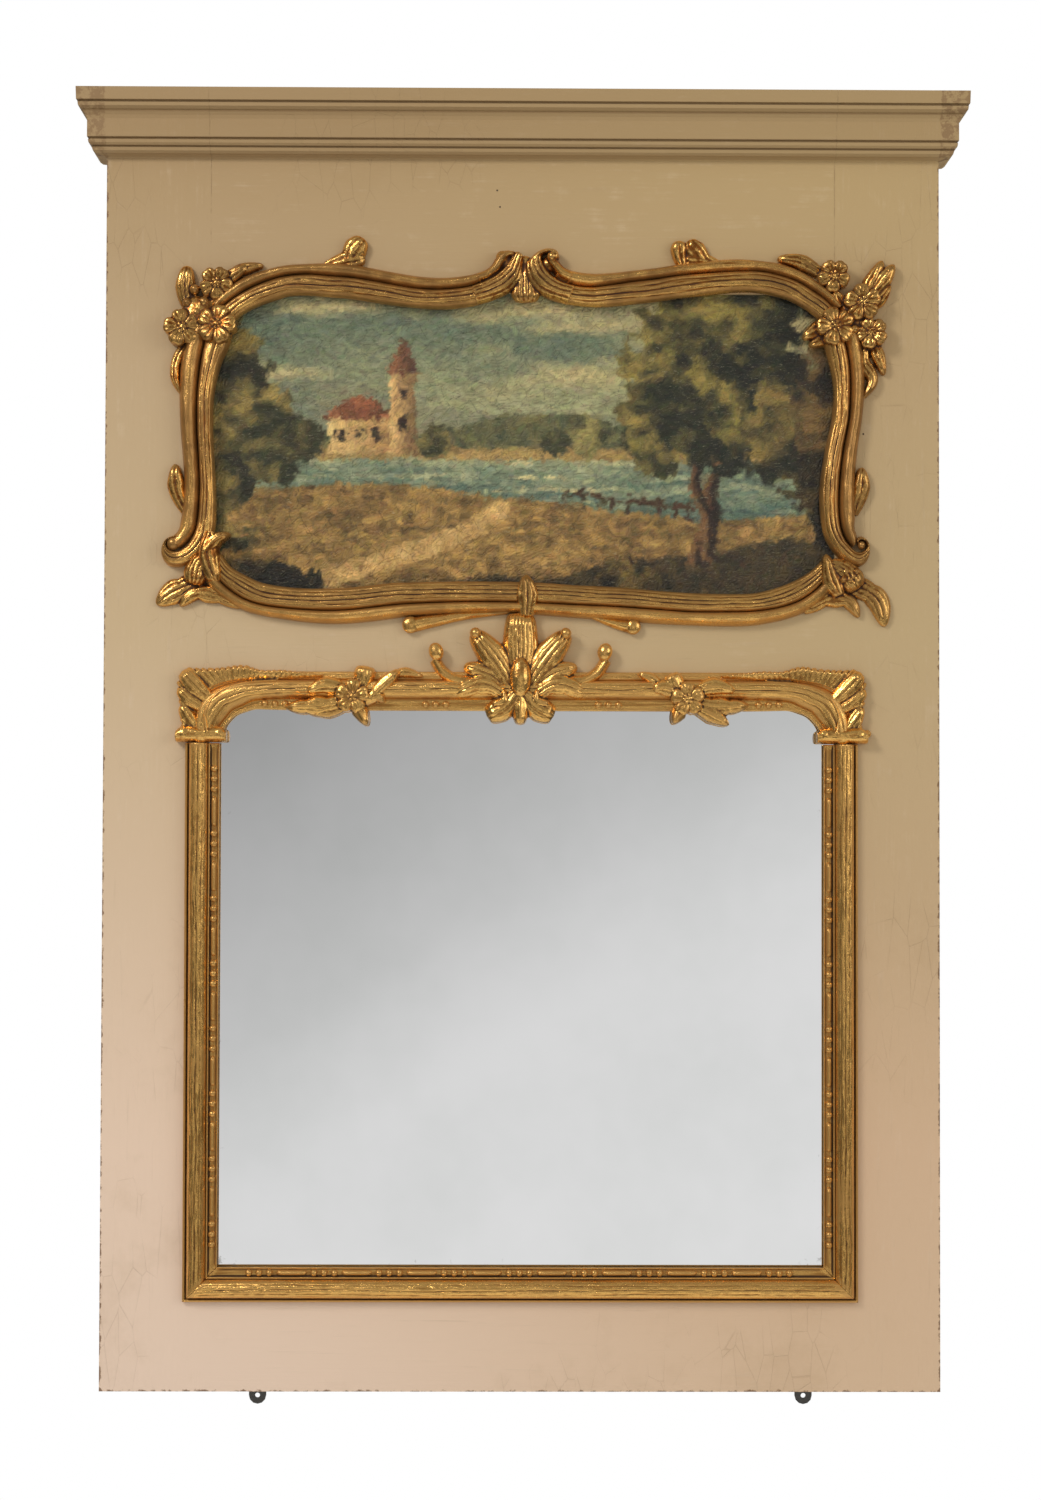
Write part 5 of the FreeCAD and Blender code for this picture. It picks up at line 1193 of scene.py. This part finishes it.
def straight_moulding(side, start, end, inward, mitre, bead_radius, seed):
    """Torus, fillets and bead strip along one side of the glass; mitre is 1 at a mitred end."""
    piece = Carving("mirror_moulding_" + side)
    start, end, inward = (np.array(pair, float) for pair in (start, end, inward))
    length = float(np.hypot(*(end - start)))
    ahead = (end - start) / length

    def shape(s, t):
        across = t * MOULDING_WIDTH
        low = mitre[0] * across
        high = length - mitre[1] * across
        at = low + (high - low) * s
        over = (t - TORUS_START) / TORUS_SHARE
        marks = rough(at / 17, t * 16, seed) + 0.6 * rough(at / 6, t * 34, seed + 4)
        wander = over * 4 + 0.3 * rough(at / 60, t * 3, seed)
        cuts = (0.5 + 0.5 * np.cos(2 * np.pi * wander)) ** 5
        out = straight_section(t) + dome(np.clip(over, 0, 1)) * (0.42 * marks - 0.7 * cuts)
        bed = ease(t, BED_START, BED_START + 0.01) * ease(1 - t, 0.03, 0.04)
        quirk = ease(t, 0.08, 0.09) * ease(0.125 - t, 0, 0.01)
        joint = mitre[0] * ease(0.9 - (at - low), 0, 0.9) + mitre[1] * ease(0.9 - (high - at), 0, 0.9)
        x = start[0] + ahead[0] * at + inward[0] * across
        z = start[1] + ahead[1] * at + inward[1] * across
        return x, z, out, 0.20 * bed + 0.45 * quirk + 1.2 * joint

    piece.relief(round(length / 1.6), 82, shape, size=(length, MOULDING_WIDTH))
    inset = MOULDING_WIDTH * BED_MIDDLE
    first = start + inward * inset + ahead * (mitre[0] * inset + 3)
    last = end + inward * inset - ahead * (mitre[1] * inset + 3)
    bead_strip(piece, [first, (first + last) / 2, last], bead_radius, 3.4)
    piece.finish()


# (right, up) at the outer edge, at both sides of the torus and at the sight edge.
UPPER_HALF = [
    (-403, 800, -392, 800, -366, 798, -358, 797), (-402, 815, -391, 814, -362, 809, -355, 807),
    (-400, 834, -388, 829, -355, 818, -349, 815), (-394, 852, -379, 843, -347, 827, -342, 821),
    (-380, 864, -366, 852, -334, 833, -332, 825), (-360, 871, -350, 858, -323, 838, -321, 828),
    (-335, 873, -330, 861.5, -308, 840, -308, 828), (-300, 873, -296, 863, -287, 841, -287, 827.5),
    (-250, 873, -248, 863, -245, 841, -245, 827), (-180, 873, -180, 863, -178, 841, -178, 827),
    (-90, 873, -90, 863, -90, 841, -90, 827), (0, 873, 0, 863, 0, 841, 0, 827),
]
UPPER_BEADS = (
    ((-339, 836), (-322, 835.5), (-300, 834.5), (-250, 834)),
    ((-158, 834), (-110, 834), (-46, 834)),
)


class TRUMEAU_OT_mirror_mouldings(bpy.types.Operator):
    """Gilded moulding with beads and reels round the glass"""

    bl_idname = "trumeau.mirror_mouldings"
    bl_label = "Mirror moulding"

    def execute(self, context):
        radius = context.scene.trumeau_carving.bead_radius
        for side, start, end, inward, mitre, seed in (
                ("left", (-OUTER, SPRING), (-OUTER, FOOT), (1, 0), (0, 1), 51),
                ("right", (OUTER, SPRING), (OUTER, FOOT), (-1, 0), (0, 1), 57),
                ("bottom", (-OUTER, FOOT), (OUTER, FOOT), (0, 1), (1, 1), 61)):
            straight_moulding(side, start, end, inward, mitre, radius, seed)
        mirrored = [(-a, b, -c, d, -e, f, -g, h) for a, b, c, d, e, f, g, h in UPPER_HALF]
        rows = UPPER_HALF + mirrored[-2::-1]
        piece = Carving("mirror_moulding_top")
        piece.ribbon([row[:4] for row in rows], 1.6, (5.0, 5.4), 0.5, 4.0, 0.4, 0.3, across=10, seed=71)
        piece.ribbon([row[2:6] for row in rows], 12.6, (5.4, 4.4), 0.45, 2.4, 0.55, 0.36, ridges=4,
                     ridge_depth=0.9, across=32, seed=73)
        piece.ribbon([row[4:] for row in rows], 0.4, (3.4, 3.8), 0.5, 4.0, 0.4, 0.1, across=12, seed=75,
                     dirt=0.2)
        for side in (-1, 1):
            for run in UPPER_BEADS:
                bead_strip(piece, [(side * x, z) for x, z in run], radius, 3.6)
        piece.finish()
        return {"FINISHED"}


class TRUMEAU_OT_palmette(bpy.types.Operator):
    """Palmette with tendrils in the middle of the upper mirror moulding"""

    bl_idname = "trumeau.palmette"
    bl_label = "Palmette"

    def execute(self, context):
        piece = Carving("palmette_crest")
        piece.leaf([(-2, 866), (-2, 900), (-2, 944)], 44, 20, ribs=9, tip=0.12, broad=0.45, low=1.0,
                   depth=1.8)
        piece.knob((-2, 858), 30, 18)
        for side in (-1, 1):
            def along(points, side=side):
                return [(side * x - 2, z) for x, z in points]
            piece.leaf(along([(4, 846), (27, 884), (57, 921)]), 36, 22, ribs=5, tip=0.3, broad=0.6,
                       low=0.75, depth=2.0)
            piece.knob(along([(54, 919)])[0], 7.0, 24, 6)
            piece.leaf(along([(8, 842), (34, 868), (68, 880)]), 27, 18, ribs=4, tip=0.35, broad=0.6,
                       low=0.8, depth=1.8)
            piece.leaf(along([(8, 838), (42, 858), (80, 847)]), 30, 21, ribs=4, tip=0.3, broad=0.55,
                       low=0.8, depth=1.9, lobes=3, lobe_depth=0.15)
            piece.stem(along([(48, 862), (74, 862), (92, 872), (103, 888)]), 19, 17, 0.75, ridges=3)
            piece.knob(along([(101, 897)])[0], 9.0, 20, 3, 1.25, side * 75)
            piece.leaf(along([(4, 848), (18, 832), (40, 820)]), 31, 22, ribs=3, tip=0.2, broad=0.6,
                       low=0.95, depth=2.0)
            piece.leaf(along([(20, 850), (20, 838), (36, 834)]), 14, 23, ribs=1, tip=0.3, low=0.9)
        piece.leaf([(-2, 848), (-2, 830), (-2, 810)], 22, 23, ribs=3, tip=0.3, broad=0.5, low=0.95)
        piece.knob((-2, 866), 12.6, 29, 8, 1.9, 90)
        piece.fuse()
        return {"FINISHED"}


class TRUMEAU_OT_corner_acanthus(bpy.types.Operator):
    """Fluted acanthus over the rounded corners of the glass, each on a small plinth"""

    bl_idname = "trumeau.corner_acanthus"
    bl_label = "Corner acanthus"

    FRINGE = [
        (-394, 803, -408, 804), (-393, 818, -410, 825), (-389, 832, -412, 843),
        (-382, 843, -413, 864), (-376, 850, -402, 877), (-366, 856, -384, 877),
        (-352, 860, -360, 878), (-334, 863, -334, 881), (-314, 864, -312, 875),
        (-290, 864, -287, 875), (-262, 865, -259, 872), (-240, 866, -237, 870),
    ]

    def execute(self, context):
        for side, name in ((-1, "left"), (1, "right")):
            piece = Carving("corner_acanthus_" + name)
            fringe = [(-side * a, b, -side * c, d) for a, b, c, d in self.FRINGE]
            piece.fan(fringe, 9, 13, 34, 1.8, 0.16, 5 if side < 0 else 9)

            def along(points, side=side):
                return [(-side * x, z) for x, z in points]
            piece.leaf(along([(-372, 838), (-392, 856), (-407, 873)]), 26, 18, ribs=4, tip=0.25,
                       broad=0.6, low=0.85)
            piece.leaf(along([(-378, 826), (-396, 838), (-412, 852)]), 20, 16, ribs=4, tip=0.3,
                       broad=0.6, low=0.85)
            piece.leaf(along([(-386, 800), (-398, 816), (-408, 832)]), 20, 14, ribs=3, tip=0.3,
                       broad=0.6, low=0.9)
            piece.stem(along([(-376, 800), (-378, 822), (-364, 846), (-334, 858), (-292, 862)]),
                          9, 20, 0.45, ridges=1)
            collar = [(-side * x, 806 + rise, -side * x, 788) for x, rise in
                      ((-414, -4), (-409, 0), (-398, 2), (-384, 0), (-370, 2), (-360, 0), (-353, -4))]
            piece.ribbon(collar, 15, (4.0, 4.0), 0.5, 2.6, 0.5, 0.4, across=20, seed=81)
            piece.knob((-side * -404, 798), 9.0, 20, 2)
            piece.knob((-side * -362, 798), 8.5, 20, 2)
            piece.knob((-side * -384, 796), 9.0, 18.5, 2, 1.3)
            if side > 0:
                piece.knob((414, 800), 5.0, 12)
            piece.fuse()
        return {"FINISHED"}


class TRUMEAU_OT_flower_sprigs(bpy.types.Operator):
    """Flower with leaves on each half of the upper mirror moulding"""

    bl_idname = "trumeau.flower_sprigs"
    bl_label = "Flower sprigs"

    # line from root to tip, width, height, ribs, tip, broad, lobes
    LEFT = (
        ([(-206, 838), (-244, 832), (-284, 830)], 27, 21, 3, 0.5, 0.5, 3),
        ([(-206, 850), (-234, 856), (-260, 848)], 24, 22, 3, 0.5, 0.5, 0),
        ([(-214, 828), (-232, 824), (-250, 822)], 15, 18, 2, 0.5, 0.5, 0),
        ([(-200, 838), (-192, 822), (-185, 808)], 21, 23, 3, 0.5, 0.4, 0),
        ([(-192, 834), (-176, 844), (-164, 836)], 19, 21, 2, 0.5, 0.5, 0),
        ([(-196, 848), (-190, 864), (-187, 880)], 27, 22, 3, 0.15, 0.7, 0),
        ([(-186, 836), (-168, 856), (-146, 875)], 19, 23, 3, 0.4, 0.6, 0),
        ([(-160, 868), (-140, 872), (-118, 867)], 14, 15, 2, 0.5, 0.5, 0),
    )
    RIGHT = (
        ([(202, 838), (236, 832), (272, 834)], 27, 21, 3, 0.5, 0.5, 3),
        ([(202, 848), (230, 856), (258, 850)], 24, 22, 3, 0.5, 0.5, 0),
        ([(206, 832), (228, 822), (248, 810)], 22, 22, 3, 0.5, 0.5, 0),
        ([(196, 834), (188, 824), (181, 811)], 19, 23, 2, 0.5, 0.5, 0),
        ([(192, 844), (172, 854), (153, 852)], 23, 22, 3, 0.4, 0.5, 0),
        ([(194, 848), (184, 860), (178, 872)], 24, 22, 3, 0.2, 0.7, 0),
        ([(168, 856), (154, 866), (138, 872)], 15, 17, 2, 0.5, 0.5, 0),
    )

    def execute(self, context):
        for side, leaves, heart, radius, turn in (
                ("left", self.LEFT, (-203, 843), 20.5, 85), ("right", self.RIGHT, (198, 841), 20.0, 95)):
            piece = Carving("flower_sprig_" + side)
            for points, width, height, ribs, tip, broad, lobes in leaves:
                piece.leaf(points, width, height, ribs, tip, broad, low=0.85, lobes=lobes)
            piece.knob(heart, 17, 18)
            piece.flower(heart, radius, 24, turn)
            piece.fuse()
        return {"FINISHED"}


# ------------------------------------------------------------------ canvas

TREES = (
    (0.815, 0.40, 1.10, 0.135, (28, 32, 22), (128, 120, 64), 401),
    (0.715, 0.42, 0.74, 0.070, (36, 40, 26), (146, 134, 74), 411),
    (0.905, 0.36, 0.70, 0.060, (32, 34, 22), (120, 108, 60), 415),
    (0.985, 0.16, 0.92, 0.060, (30, 28, 20), (104, 86, 50), 421),
    (0.025, 0.20, 0.98, 0.075, (36, 38, 26), (138, 126, 72), 431),
    (0.105, 0.36, 0.68, 0.046, (44, 48, 32), (142, 130, 76), 441),
    (0.155, 0.44, 0.57, 0.030, (52, 54, 36), (132, 122, 72), 443),
    (0.600, 0.46, 0.60, 0.036, (52, 58, 42), (134, 130, 84), 451),
    (0.550, 0.47, 0.56, 0.024, (58, 62, 44), (138, 132, 84), 453),
    (0.365, 0.46, 0.56, 0.026, (50, 54, 36), (132, 124, 76), 461),
    (0.660, -0.06, 0.15, 0.075, (26, 24, 16), (110, 94, 48), 471),
    (0.090, -0.08, 0.15, 0.090, (28, 26, 18), (116, 98, 54), 481),
)
WINDOWS = ((0.216, 0.535), (0.244, 0.535), (0.272, 0.535), (0.312, 0.66), (0.312, 0.57))
VARNISH = (1.16, 1.07, 0.90)


def pigment(colour):
    return np.array(colour, float) / 255


class Landscape:
    """A wooded river valley, laid from the sky forwards over arrays from 0 to 1: u from left to
    right, v from low to high."""

    def __init__(self, u, v):
        self.u, self.v = u, v
        self.wave = layered(u * 9, v * 5, 301, 4)
        self.fine = layered(u * 60, v * 34, 311, 3)
        self.grass = 0.6 * rough(u * 46, v * 96, 315) + 0.4 * rough(u * 90, v * 40, 317)
        self.picture = pigment((150, 156, 128))
        self.lay(ease(v + 0.10 * self.wave, 0.52, 0.98), (84, 104, 98))
        cloud = ease(layered(u * 3.4 + 7, v * 7.5, 331, 5), 0.02, 0.42) * ease(v, 0.58, 0.76)
        self.lay(cloud * 0.75, (196, 184, 142))
        self.hills()
        self.river()
        self.meadow()
        self.house()
        self.fence()
        self.trunk(0.775, 0.12, 0.60, 0.012, 0.10)
        self.trunk(0.800, 0.13, 0.70, 0.009, -0.10)
        for tree in TREES:
            self.tree(*tree)

    def lay(self, mask, dark, light=None, share=None):
        """One colour over the mask, or two of them mixed by share."""
        colour = pigment(dark)
        if light is not None:
            colour = colour + (pigment(light) - colour) * share[..., None]
        self.picture = self.picture + (colour - self.picture) * mask[..., None]

    def hills(self):
        u, v = self.u, self.v
        far = 0.640 + 0.055 * np.sin(u * 7.0 + 0.6) + 0.035 * layered(u * 9, u * 0 + 2.0, 341)
        self.lay(ease(far - v, -0.004, 0.006), (92, 110, 106), (134, 138, 116), 0.5 + 0.6 * self.wave)
        near = 0.565 + 0.035 * np.sin(u * 11.0 + 2.2) + 0.045 * layered(u * 16, u * 0 + 5.0, 343)
        self.lay(ease(near - v, -0.004, 0.006), (64, 76, 62), (116, 112, 74), 0.45 + 0.7 * self.fine)
        shore = 0.492 + 0.012 * self.wave
        self.lay(ease(shore - v, -0.003, 0.005), (128, 112, 70), (168, 148, 98), 0.5 + self.grass)

    def river(self):
        u, v = self.u, self.v
        ripple = rough(u * 20, v * 150, 351)
        water = ease(0.455 + 0.01 * self.wave - v, -0.003, 0.006)
        depth = np.clip(0.42 + 0.45 * ripple + (v - 0.36) * 3, 0, 1)
        self.lay(water, (70, 96, 96), (150, 162, 140), depth)
        glint = ease(ripple, 0.55, 0.8) * (1 - ease(np.abs(u - 0.50), 0.0, 0.22))
        self.lay(water * glint * 0.8, (206, 200, 160))

    def meadow(self):
        """Meadow with a track, and the dark ground in front."""
        u, v = self.u, self.v
        self.bank = 0.325 + 0.055 * np.sin(u * 5.2 + 0.4) + 0.03 * self.wave
        self.lay(ease(self.bank - v, -0.004, 0.006), (88, 72, 40), (158, 132, 80),
                 0.5 + 0.8 * self.grass + 0.3 * self.wave)
        bend = 0.47 - 2.6 * np.clip(0.33 - v, 0, 1) ** 1.6
        beside = np.abs(u - bend - 0.012 * self.wave)
        track = ease(0.014 + 0.20 * (0.34 - v) - beside, -0.004, 0.010)
        self.lay(track * ease(self.bank - v, 0.004, 0.02), (150, 124, 80), (204, 178, 126),
                 0.5 + 0.8 * self.fine)
        front = 0.125 + 0.075 * np.sin(u * 4.2 + 3.4) + 0.05 * self.wave
        self.lay(ease(front - v, -0.005, 0.01), (38, 34, 22), (98, 84, 48),
                 0.35 + 0.9 * self.grass * self.fine + 0.4 * self.fine)

    def wall(self, x0, x1, z0, z1, dark, light):
        u, v = self.u, self.v
        inside = (u > x0) & (u < x1) & (v > z0) & (v < z1)
        self.lay(inside.astype(float), dark, light, np.clip((x1 - u) / (x1 - x0) + 0.3 * self.fine, 0, 1))

    def house(self):
        """House with a round tower."""
        u, v = self.u, self.v
        self.wall(0.196, 0.292, 0.475, 0.590, (150, 122, 82), (206, 182, 134))
        roof = (np.abs(u - 0.244) < 0.058 - (v - 0.585) * 0.60) & (v >= 0.585) & (v < 0.655)
        self.lay(roof.astype(float), (84, 52, 36), (150, 96, 66), 0.5 + self.fine)
        self.wall(0.292, 0.334, 0.465, 0.730, (104, 84, 58), (200, 172, 124))
        cap = (np.abs(u - 0.313) < 0.027 - (v - 0.725) * 0.25) & (v >= 0.725) & (v < 0.830)
        self.lay(cap.astype(float), (70, 50, 40), (128, 88, 62), np.clip((0.335 - u) / 0.04, 0, 1))
        for x, z in WINDOWS:
            window = (np.abs(u - x) < 0.0055) & (np.abs(v - z) < 0.020)
            self.lay(window.astype(float), (48, 38, 28))

    def fence(self):
        u, v = self.u, self.v
        for post in range(9):
            x = 0.57 + post * 0.024
            inside = (np.abs(u - x) < 0.0022) & (v > self.bank - 0.005) & (v < self.bank + 0.055)
            self.lay(inside.astype(float), (62, 46, 30))
        rail = (np.abs(v - self.bank - 0.040) < 0.006) & (u > 0.565) & (u < 0.77)
        self.lay(rail.astype(float), (70, 52, 34))

    def trunk(self, x, low, high, wide, lean):
        u, v = self.u, self.v
        centre = x + lean * (v - low) + 0.006 * np.sin(v * 30)
        inside = ease(wide * (1.3 - (v - low)) - np.abs(u - centre), -0.002, 0.002) * (v > low) * (v < high)
        self.lay(inside, (38, 28, 20), (112, 84, 54), np.clip((centre - u) / wide + 0.4, 0, 1))

    def tree(self, x, low, high, wide, dark, light, seed):
        """A crown of leaves; wide is half its width."""
        u, v = self.u, self.v
        middle = (low + high) / 2
        leaves = layered(u * 44 + seed, v * 26, seed, 3)
        crown = np.hypot((u - x) / wide, (v - middle) / ((high - low) / 2))
        crown = crown + 0.30 * layered(u * 17 + seed, v * 9, seed + 3, 2) + 0.30 * leaves
        bough = layered(u * 15 + seed, v * 12, seed + 7, 2)
        share = np.clip(0.42 + 0.9 * bough + 0.9 * leaves + (x - u) * 2.5 + (v - middle) * 0.7, 0, 1)
        self.lay(ease(1.0 - crown, -0.02, 0.05), dark, light, share)


def brushed(picture, strokes, seed=7):
    """Repaints a picture in short dragged strokes; gives its colours and the height of the paint."""
    rows, columns, _ = picture.shape
    chance = np.random.default_rng(seed)
    canvas = picture * 0.96
    lay = np.zeros((rows, columns))
    grey = picture.mean(axis=2)
    slope_up, slope_right = np.gradient(grey)
    for stroke in range(strokes):
        fine = (stroke / strokes) ** 0.5
        length = (8 - 5.6 * fine) * chance.uniform(0.7, 1.3)
        wide = (2.4 - 1.5 * fine) * chance.uniform(0.7, 1.2)
        row, column = int(chance.integers(rows)), int(chance.integers(columns))
        angle = math.atan2(slope_right[row, column], slope_up[row, column] + 0.006)
        angle += chance.normal(0, 0.3)
        reach = int(length) + 2
        low, high = max(0, row - reach), min(rows, row + reach)
        left, right = max(0, column - reach), min(columns, column + reach)
        down, across = np.mgrid[low:high, left:right]
        down, across = down - row, across - column
        along = across * math.cos(angle) - down * math.sin(angle)
        aside = across * math.sin(angle) + down * math.cos(angle)
        mask = np.clip((1 - np.abs(along) / length) * 3, 0, 1)
        mask = mask * np.clip((1.25 - np.abs(aside) / wide) * 2.5, 0, 1)
        bristle = 0.5 + 0.5 * np.sin(aside * 3.1 + stroke)
        colour = picture[row, column] * chance.uniform(0.86, 1.16) + chance.normal(0, 0.012, 3)
        strength = (mask * (0.62 + 0.25 * bristle))[..., None]
        canvas[low:high, left:right] += (colour - canvas[low:high, left:right]) * strength
        lay[low:high, left:right] += (bristle - lay[low:high, left:right]) * mask
    return np.clip(canvas, 0.01, 1), lay


class TRUMEAU_OT_canvas(bpy.types.Operator):
    """Stretched canvas with a generic wooded river landscape, and its bare linen behind"""

    bl_idname = "trumeau.canvas"
    bl_label = "Canvas"

    COLUMNS, ROWS, STROKES = 400, 200, 22000
    LINEN_COLUMNS, LINEN_ROWS = 60, 30
    LINEN_INSET, LINEN_SHORT = 0.0009, 0.0006

    def execute(self, context):
        low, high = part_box("picture_canvas")
        width, depth, height = high - low
        canvas = self.sheet("picture_canvas_painted", self.COLUMNS, self.ROWS, low, high, depth, 0.0)
        self.paint(canvas.data, low, high)
        dress(canvas, oil_paint(), ["picture_canvas"])
        self.declare(canvas, width, height, depth)
        inset, turned = self.LINEN_INSET, depth - self.LINEN_SHORT
        linen = self.sheet("canvas_lining", self.LINEN_COLUMNS, self.LINEN_ROWS, low, high, turned, inset)
        dress(linen, raw_linen(), ())
        self.declare(linen, width - 2 * inset, height - 2 * inset, turned - inset)
        return {"FINISHED"}

    def declare(self, piece, width, height, turned):
        """Takes no step with the piece: the sheet is meant to be cut with its edges to be turned back, and
        without its four corner squares.
        """

    def sheet(self, name, columns, rows, low, high, depth, inset):
        """Front of the canvas with its four edges turned back round the stretcher."""
        mesh = bmesh.new()
        run = mesh.loops.layers.uv.new("run")
        bmesh.ops.create_grid(mesh, x_segments=columns, y_segments=rows, size=0.5)
        width, height = high.x - low.x - 2 * inset, high.z - low.z - 2 * inset
        for vert in mesh.verts:
            vert.co = (low.x + inset + (vert.co.x + 0.5) * width, low.y + inset,
                       low.z + inset + (vert.co.y + 0.5) * height)
        for face in mesh.faces:
            for loop in face.loops:
                loop[run].uv = (loop.vert.co.x - low.x, loop.vert.co.z - low.z)
        rim = [edge for edge in mesh.edges if edge.is_boundary]
        made = bmesh.ops.extrude_edge_only(mesh, edges=rim)
        turned = [item for item in made["geom"] if isinstance(item, bmesh.types.BMVert)]
        bmesh.ops.translate(mesh, verts=turned, vec=(0, depth - inset, 0))
        bmesh.ops.recalc_face_normals(mesh, faces=mesh.faces)
        if sum(face.normal.y for face in mesh.faces) > 0:
            bmesh.ops.reverse_faces(mesh, faces=mesh.faces)
        return new_piece(name, mesh)

    def paint(self, data, low, high):
        """Stores the picture's colour and the height of its paint at each point."""
        grid = np.meshgrid(np.linspace(0, 1, self.COLUMNS + 1), np.linspace(0, 1, self.ROWS + 1))
        picture = np.clip(Landscape(*grid).picture * np.array(VARNISH), 0.02, 1)
        colours, lay = brushed(picture, self.STROKES)
        count = len(data.vertices)
        place = np.empty(count * 3, np.float32)
        data.vertices.foreach_get("co", place)
        place = place.reshape(-1, 3)
        column = np.rint((place[:, 0] - low.x) / (high.x - low.x) * self.COLUMNS)
        column = np.clip(column, 0, self.COLUMNS).astype(int)
        row = np.rint((place[:, 2] - low.z) / (high.z - low.z) * self.ROWS)
        row = np.clip(row, 0, self.ROWS).astype(int)
        shade = np.concatenate([linear(colours[row, column]), np.ones((count, 1))], axis=1)
        layer = data.color_attributes.new("paint", "FLOAT_COLOR", "POINT")
        layer.data.foreach_set("color", shade.astype(np.float32).ravel())
        relief = data.attributes.new("impasto", "FLOAT", "POINT")
        relief.data.foreach_set("value", lay[row, column].astype(np.float32))


# ------------------------------------------------------------------ sidebar and start

OPERATORS = (
    TRUMEAU_OT_stage, TRUMEAU_OT_panel, TRUMEAU_OT_hardware, TRUMEAU_OT_looking_glass,
    TRUMEAU_OT_canvas, TRUMEAU_OT_picture_mouldings, TRUMEAU_OT_crest_shell,
    TRUMEAU_OT_corner_flowers, TRUMEAU_OT_leaves_and_buds, TRUMEAU_OT_mirror_mouldings,
    TRUMEAU_OT_palmette, TRUMEAU_OT_corner_acanthus, TRUMEAU_OT_flower_sprigs,
)


class TRUMEAU_PT_panel(bpy.types.Panel):
    bl_label = "Trumeau"
    bl_space_type = "VIEW_3D"
    bl_region_type = "UI"
    bl_category = "Trumeau"

    def draw(self, context):
        for group in (context.scene.trumeau_finishes, context.scene.trumeau_carving,
                      context.scene.trumeau_stage):
            for name in group.__annotations__:
                self.layout.prop(group, name)
        for operator in OPERATORS:
            self.layout.operator(operator.bl_idname)


CLASSES = (TrumeauFinishes, TrumeauCarving, TrumeauStage, *OPERATORS, TRUMEAU_PT_panel)


def register():
    for cls in CLASSES:
        bpy.utils.register_class(cls)
    bpy.types.Scene.trumeau_finishes = PointerProperty(type=TrumeauFinishes)
    bpy.types.Scene.trumeau_carving = PointerProperty(type=TrumeauCarving)
    bpy.types.Scene.trumeau_stage = PointerProperty(type=TrumeauStage)


def unregister():
    del bpy.types.Scene.trumeau_stage
    del bpy.types.Scene.trumeau_carving
    del bpy.types.Scene.trumeau_finishes
    for cls in reversed(CLASSES):
        bpy.utils.unregister_class(cls)


def main():
    register()
    for operator in OPERATORS:
        family, name = operator.bl_idname.split(".")
        getattr(getattr(bpy.ops, family), name)()


if __name__ == "__main__":
    main()
